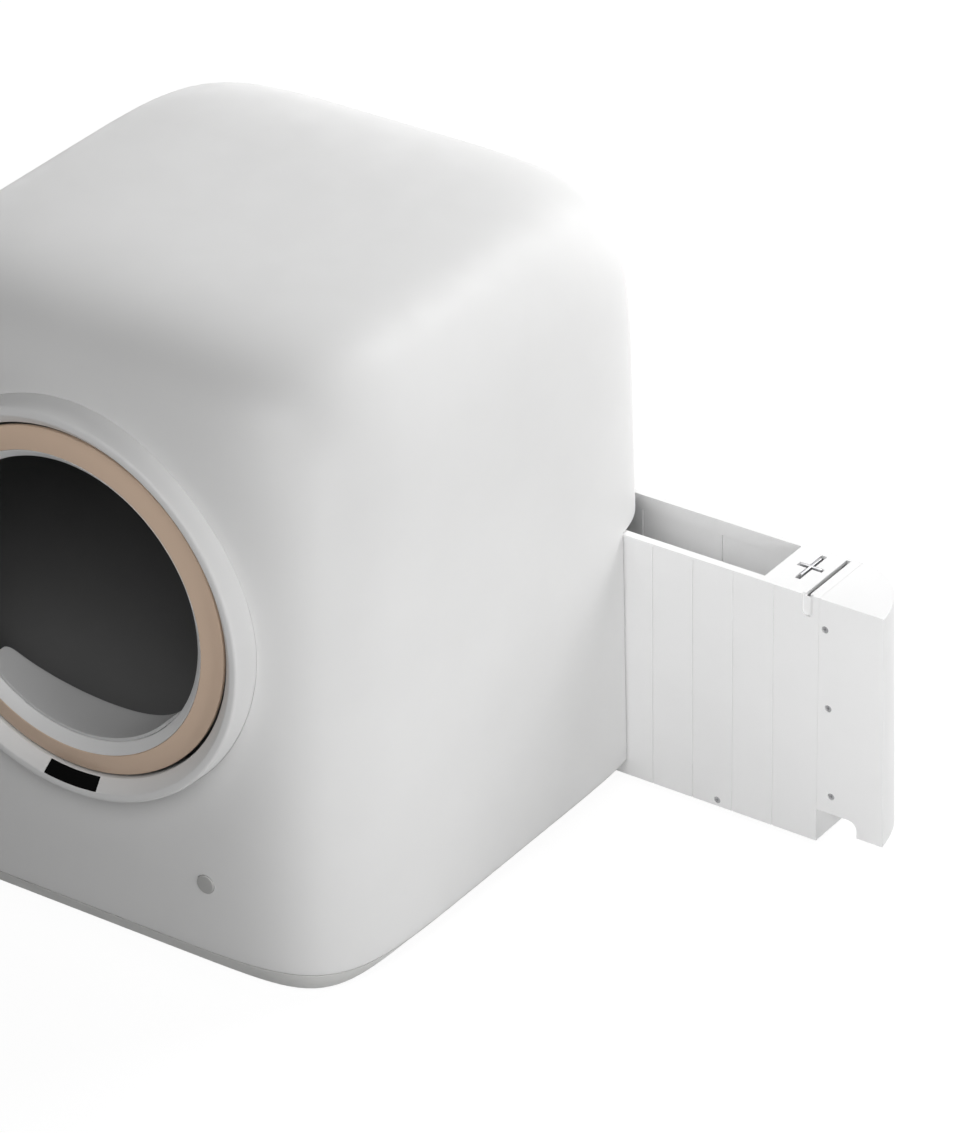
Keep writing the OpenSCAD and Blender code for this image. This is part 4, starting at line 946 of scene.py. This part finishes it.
@dataclass
class WasteDrawer:
    """The slim bin, its end cap, the cap's screws and the latch."""

    out: float = 0.244
    cap_cuts: int = 31
    notch_top: float = 0.035
    notch_length: float = 0.038
    notch_round: float = 0.008
    bin_round: float = 0.0004
    cap_round: float = 0.0009
    blade_round: float = 0.0003
    screw: CrossScrew = CrossScrew(40, 0.0012, 0.009, (0.0017, 0.0004), 0.0009)
    screw_hole: float = 0.0031
    hole_depth: float = 0.002
    joint_gap: float = 0.00015
    cap_screw_places: tuple[tuple[float, float], ...] = ((0.0058, 0.027), (0.0097, 0.099), (0.0137, 0.1807))
    lone_screw: tuple[float, float] = (-0.0945, 0.2217)

    def _joint(self) -> float:
        """X of the joint between bin and cap."""
        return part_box("bin_end_cap")[0].x - self.joint_gap

    def _screw_places(self) -> list[tuple[float, float]]:
        """X and Z of the screws in the near wall."""
        joint, top = self._joint(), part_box("bin_end_cap")[1].z
        return [(joint + along, top - down) for along, down in self.cap_screw_places + (self.lone_screw,)]

    def bin(self) -> None:
        """Builds the bin from its exact solid, with softened edges away from the cap's joint."""
        mesh = merged("waste_bin")
        joint = self._joint()
        soften(mesh, self.bin_round,
               lambda edge: not all(abs(vert.co.x - joint) < WELD * 5 for vert in edge.verts))
        dressed(solid(mesh, "bin_box"), Surface.BIN, "drawer", ["waste_bin"], weighted=True)

    def cap(self) -> None:
        """Builds the end cap, whose end follows the casing's form."""
        low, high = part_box("bin_end_cap")
        mesh = bmesh.new()
        block(mesh, low, high)
        bmesh.ops.subdivide_edges(mesh, edges=mesh.edges[:], cuts=self.cap_cuts, use_grid_fill=True)
        for vert in mesh.verts:
            share = (vert.co.x - low.x) / (high.x - low.x)
            vert.co.x = low.x + share * (FORM.side_x(vert.co.y, vert.co.z) + self.out - low.x)
        soften(mesh, self.cap_round,
               lambda edge: not all(abs(vert.co.x - low.x) < WELD for vert in edge.verts), segments=3)
        thing = solid(mesh, "bin_cap")
        tools = bmesh.new()
        end = low.x + self.notch_length - self.joint_gap
        corners = [Corner(low.x - OVER, low.z - OVER), Corner(end, low.z - OVER),
                   Corner(end, self.notch_top, self.notch_round), Corner(low.x - OVER, self.notch_top)]
        drawn_out(tools, corners, lambda x, z: Vector((x, low.y - OVER, z)),
                  Vector((0, high.y - low.y + 2 * OVER, 0)))
        sunk = Vector((0, OVER + self.hole_depth, 0))
        for x, z in self._screw_places()[:-1]:
            rod(tools, Vector((x, low.y - OVER, z)), sunk, self.screw_hole, 48)
        dressed(cut(thing, tools), Surface.BIN, "drawer", ["bin_end_cap"], weighted=True)

    def screws(self) -> None:
        """Builds the sunk screws of the near wall."""
        head_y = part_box("bin_end_cap")[0].y + self.hole_depth - self.screw.head_height
        seats = [Vector((x, head_y, z)) for x, z in self._screw_places()]
        self.screw.build("bin_screws", seats, Vector((0, 1, 0)), "drawer", "cap_screws")

    def latch(self) -> None:
        """Builds the pressed latch blade."""
        mesh = merged("latch_blade")
        soften(mesh, self.blade_round)
        dressed(solid(mesh, "latch_tab"), Surface.STEEL, "latch", ["latch_blade"])

    def build(self) -> None:
        """Builds the drawer."""
        self.bin()
        self.cap()
        self.screws()
        self.latch()


@dataclass
class PowerButton:
    """The round button low on the front."""

    radius: float = 0.008
    flange_y: float = -0.2404
    flange: float = 0.0016
    flange_wall: float = 0.0015
    stem: float = 0.003

    def build(self) -> None:
        """Builds the button with its slightly domed face."""
        low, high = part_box("power_button")
        face, back = low.y, self.flange_y + self.flange_wall
        corners = [Corner(0.00005, face), Corner(self.radius * 0.75, face + 0.0001),
                   Corner(self.radius, face + 0.0003, 0.0006), Corner(self.radius, self.flange_y),
                   Corner(self.radius + self.flange, self.flange_y), Corner(self.radius + self.flange, back),
                   Corner(self.stem, back), Corner(self.stem, high.y), Corner(0.00005, high.y)]
        turned("push_button", corners, Surface.BUTTON, "button", "power_button", BUTTON, 96)


@dataclass
class Mechanism:
    """The CAD nodes that keep their exact solids and only get a finish."""

    finishes: dict[Surface, tuple[str, ...]] = field(default_factory=lambda: {
        Surface.INNER: ("drum_gear", "roller_brackets", "rear_bulkhead", "waste_chute", "drawer_runners"),
        Surface.GUARD: ("sifting_screen", "waste_scoop"),
        Surface.STEEL: ("drum_screws", "motor_shaft", "motor_screws", "roller_pins", "latch_spring",
                        "button_spring", "inlet_pin"),
        Surface.RUBBER: ("outlet_seal", "roller_front_left", "roller_front_right", "roller_rear_left",
                         "roller_rear_right"),
        Surface.ACETAL: ("drive_pinion",),
        Surface.PLATED: ("gearbox", "motor_can", "motor_bracket", "load_cells"),
        Surface.GLASS: ("button_switch", "power_inlet"),
        Surface.BOARD: ("control_board", "display_board")})

    def build(self) -> None:
        """Gives each carried-over node its finish."""
        for surface, names in self.finishes.items():
            for name in names:
                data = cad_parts[name].data
                data.materials.clear()
                data.materials.append(surface.material)
                log.info("%s: finish %s", name, surface.name)


# Studio

# Where the lamps point: the casing's middle and the drawer's middle
AIM = (0.05, 0.0, 0.27)
DRAWER = (0.42, 0.2, 0.13)


@dataclass(frozen=True)
class Softbox:
    """A square lamp that points at the box."""

    name: str
    place: tuple[float, float, float]
    aim: tuple[float, float, float]
    size: float
    watts: float

    def build(self) -> None:
        """Adds the lamp."""
        data = bpy.data.lights.new(self.name, "AREA")
        data.shape = "SQUARE"
        data.size = self.size
        data.energy = self.watts
        lamp = bpy.data.objects.new(self.name, data)
        lamp.location = self.place
        lamp.rotation_euler = (Vector(self.aim) - Vector(self.place)).to_track_quat("-Z", "Y").to_euler()
        bpy.context.scene.collection.objects.link(lamp)


@dataclass(frozen=True)
class Studio:
    """The camera of the photograph, a pale floor, a white background and soft lamps."""

    image: tuple[int, int] = (970, 1133)
    focal_px: float = 6090.6
    centre_px: tuple[float, float] = (486.3, 562.2)
    azimuth: float = 0.6128
    elevation: float = 0.533
    roll: float = -0.0184
    target: tuple[float, float, float] = (0.2162, 0.0, 0.2839)
    distance: float = 4.744
    sensor: float = 36.0
    ambient: float = 0.0
    floor_glow: float = 0.93
    floor_shade: float = 0.12
    floor_bounce: float = 0.5
    lamps: tuple[Softbox, ...] = (
        Softbox("rear_left_low", (-1.472, 1.522, 0.727), AIM, 1.2, 5.3),
        Softbox("front_high", (0.695, -1.557, 1.684), AIM, 1.2, 19.0),
        Softbox("rear_high", (0.695, 1.557, 1.684), AIM, 1.2, 30.5),
        Softbox("rear_left_high", (-0.595, 1.557, 1.684), AIM, 1.2, 7.8),
        Softbox("near_rear", (0.581, 0.92, 0.555), AIM, 0.6, 2.9),
        Softbox("near_drawer", (0.977, -0.357, 0.269), DRAWER, 0.5, 3.2),
        Softbox("behind_drawer", (0.814, 0.882, 0.269), DRAWER, 0.5, 0.7),
    )

    def camera(self) -> None:
        """Adds the camera at the photograph's place."""
        back = Vector((math.sin(self.azimuth) * math.cos(self.elevation),
                       -math.cos(self.azimuth) * math.cos(self.elevation), math.sin(self.elevation)))
        level = (-back).cross(Vector((0, 0, 1))).normalized()
        upright = level.cross(-back)
        cos, sin = math.cos(self.roll), math.sin(self.roll)
        right, up = cos * level + sin * upright, cos * upright - sin * level
        long_side = max(self.image)
        data = bpy.data.cameras.new("camera")
        data.sensor_width = self.sensor
        data.lens = self.focal_px * self.sensor / long_side
        data.shift_x = (self.image[0] / 2 - self.centre_px[0]) / long_side
        data.shift_y = (self.centre_px[1] - self.image[1] / 2) / long_side
        data.clip_start, data.clip_end = 0.05, 100.0
        camera = bpy.data.objects.new("camera", data)
        turn = Matrix((right, up, back)).transposed().to_4x4()
        camera.matrix_world = Matrix.Translation(Vector(self.target) + back * self.distance) @ turn
        bpy.context.scene.collection.objects.link(camera)
        bpy.context.scene.camera = camera

    def world(self) -> None:
        """Sets the even light, and the white that camera, glossy and glass rays see."""
        world = bpy.data.worlds.new("studio_world")
        bpy.context.scene.world = world
        world.use_nodes = True
        tree = world.node_tree
        sky = tree.nodes["Background"]
        fill(sky, {"Color": (1.0, 1.0, 1.0, 1.0)})
        level = tree.nodes.new("ShaderNodeMapRange")
        fill(level, {"To Min": self.ambient, "To Max": 1.0})
        tree.links.new(self._seen(tree), level.inputs["Value"])
        tree.links.new(level.outputs["Result"], sky.inputs["Strength"])

    @staticmethod
    def _seen(tree: bpy.types.NodeTree) -> bpy.types.NodeSocket:
        """Gives 1 for camera, glossy and glass rays and 0 for all others."""
        path = tree.nodes.new("ShaderNodeLightPath")
        value = path.outputs["Is Camera Ray"]
        for name in ("Is Glossy Ray", "Is Transmission Ray"):
            either = tree.nodes.new("ShaderNodeMath")
            either.operation = "MAXIMUM"
            tree.links.new(value, either.inputs[0])
            tree.links.new(path.outputs[name], either.inputs[1])
            value = either.outputs[0]
        return value

    def floor(self) -> None:
        """Adds the pale floor, which shows white to the camera and keeps the shadow."""
        material = bpy.data.materials.new("studio_floor")
        material.use_nodes = True
        tree = material.node_tree
        tree.nodes.remove(tree.nodes["Principled BSDF"])
        out = tree.nodes["Material Output"]
        plain = tree.nodes.new("ShaderNodeBsdfDiffuse")
        fill(plain, {"Color": (self.floor_bounce, self.floor_bounce, self.floor_bounce, 1.0)})
        faint = tree.nodes.new("ShaderNodeBsdfDiffuse")
        fill(faint, {"Color": (self.floor_shade, self.floor_shade, self.floor_shade, 1.0)})
        glow = tree.nodes.new("ShaderNodeEmission")
        fill(glow, {"Strength": self.floor_glow})
        both = tree.nodes.new("ShaderNodeAddShader")
        tree.links.new(faint.outputs[0], both.inputs[0])
        tree.links.new(glow.outputs[0], both.inputs[1])
        mix = tree.nodes.new("ShaderNodeMixShader")
        tree.links.new(self._seen(tree), mix.inputs["Fac"])
        tree.links.new(plain.outputs[0], mix.inputs[1])
        tree.links.new(both.outputs[0], mix.inputs[2])
        tree.links.new(mix.outputs[0], out.inputs["Surface"])
        mesh = bmesh.new()
        bmesh.ops.create_grid(mesh, x_segments=1, y_segments=1, size=8.0)
        ground = solid(mesh, "studio_floor")
        ground.data.materials.append(material)

    def build(self) -> None:
        """Builds the studio."""
        self.camera()
        self.world()
        self.floor()
        for lamp in self.lamps:
            lamp.build()
        bpy.context.scene.view_settings.view_transform = "Standard"


def main() -> None:
    """Builds every sub-assembly and the studio."""
    logging.basicConfig(level=logging.INFO, format="%(name)s: %(message)s")
    Studio().build()
    for assembly in (Housing(), Mouth(), LitterGuard(), Drum(), WasteDrawer(), PowerButton(), Mechanism()):
        assembly.build()


if __name__ == "__main__":
    main()
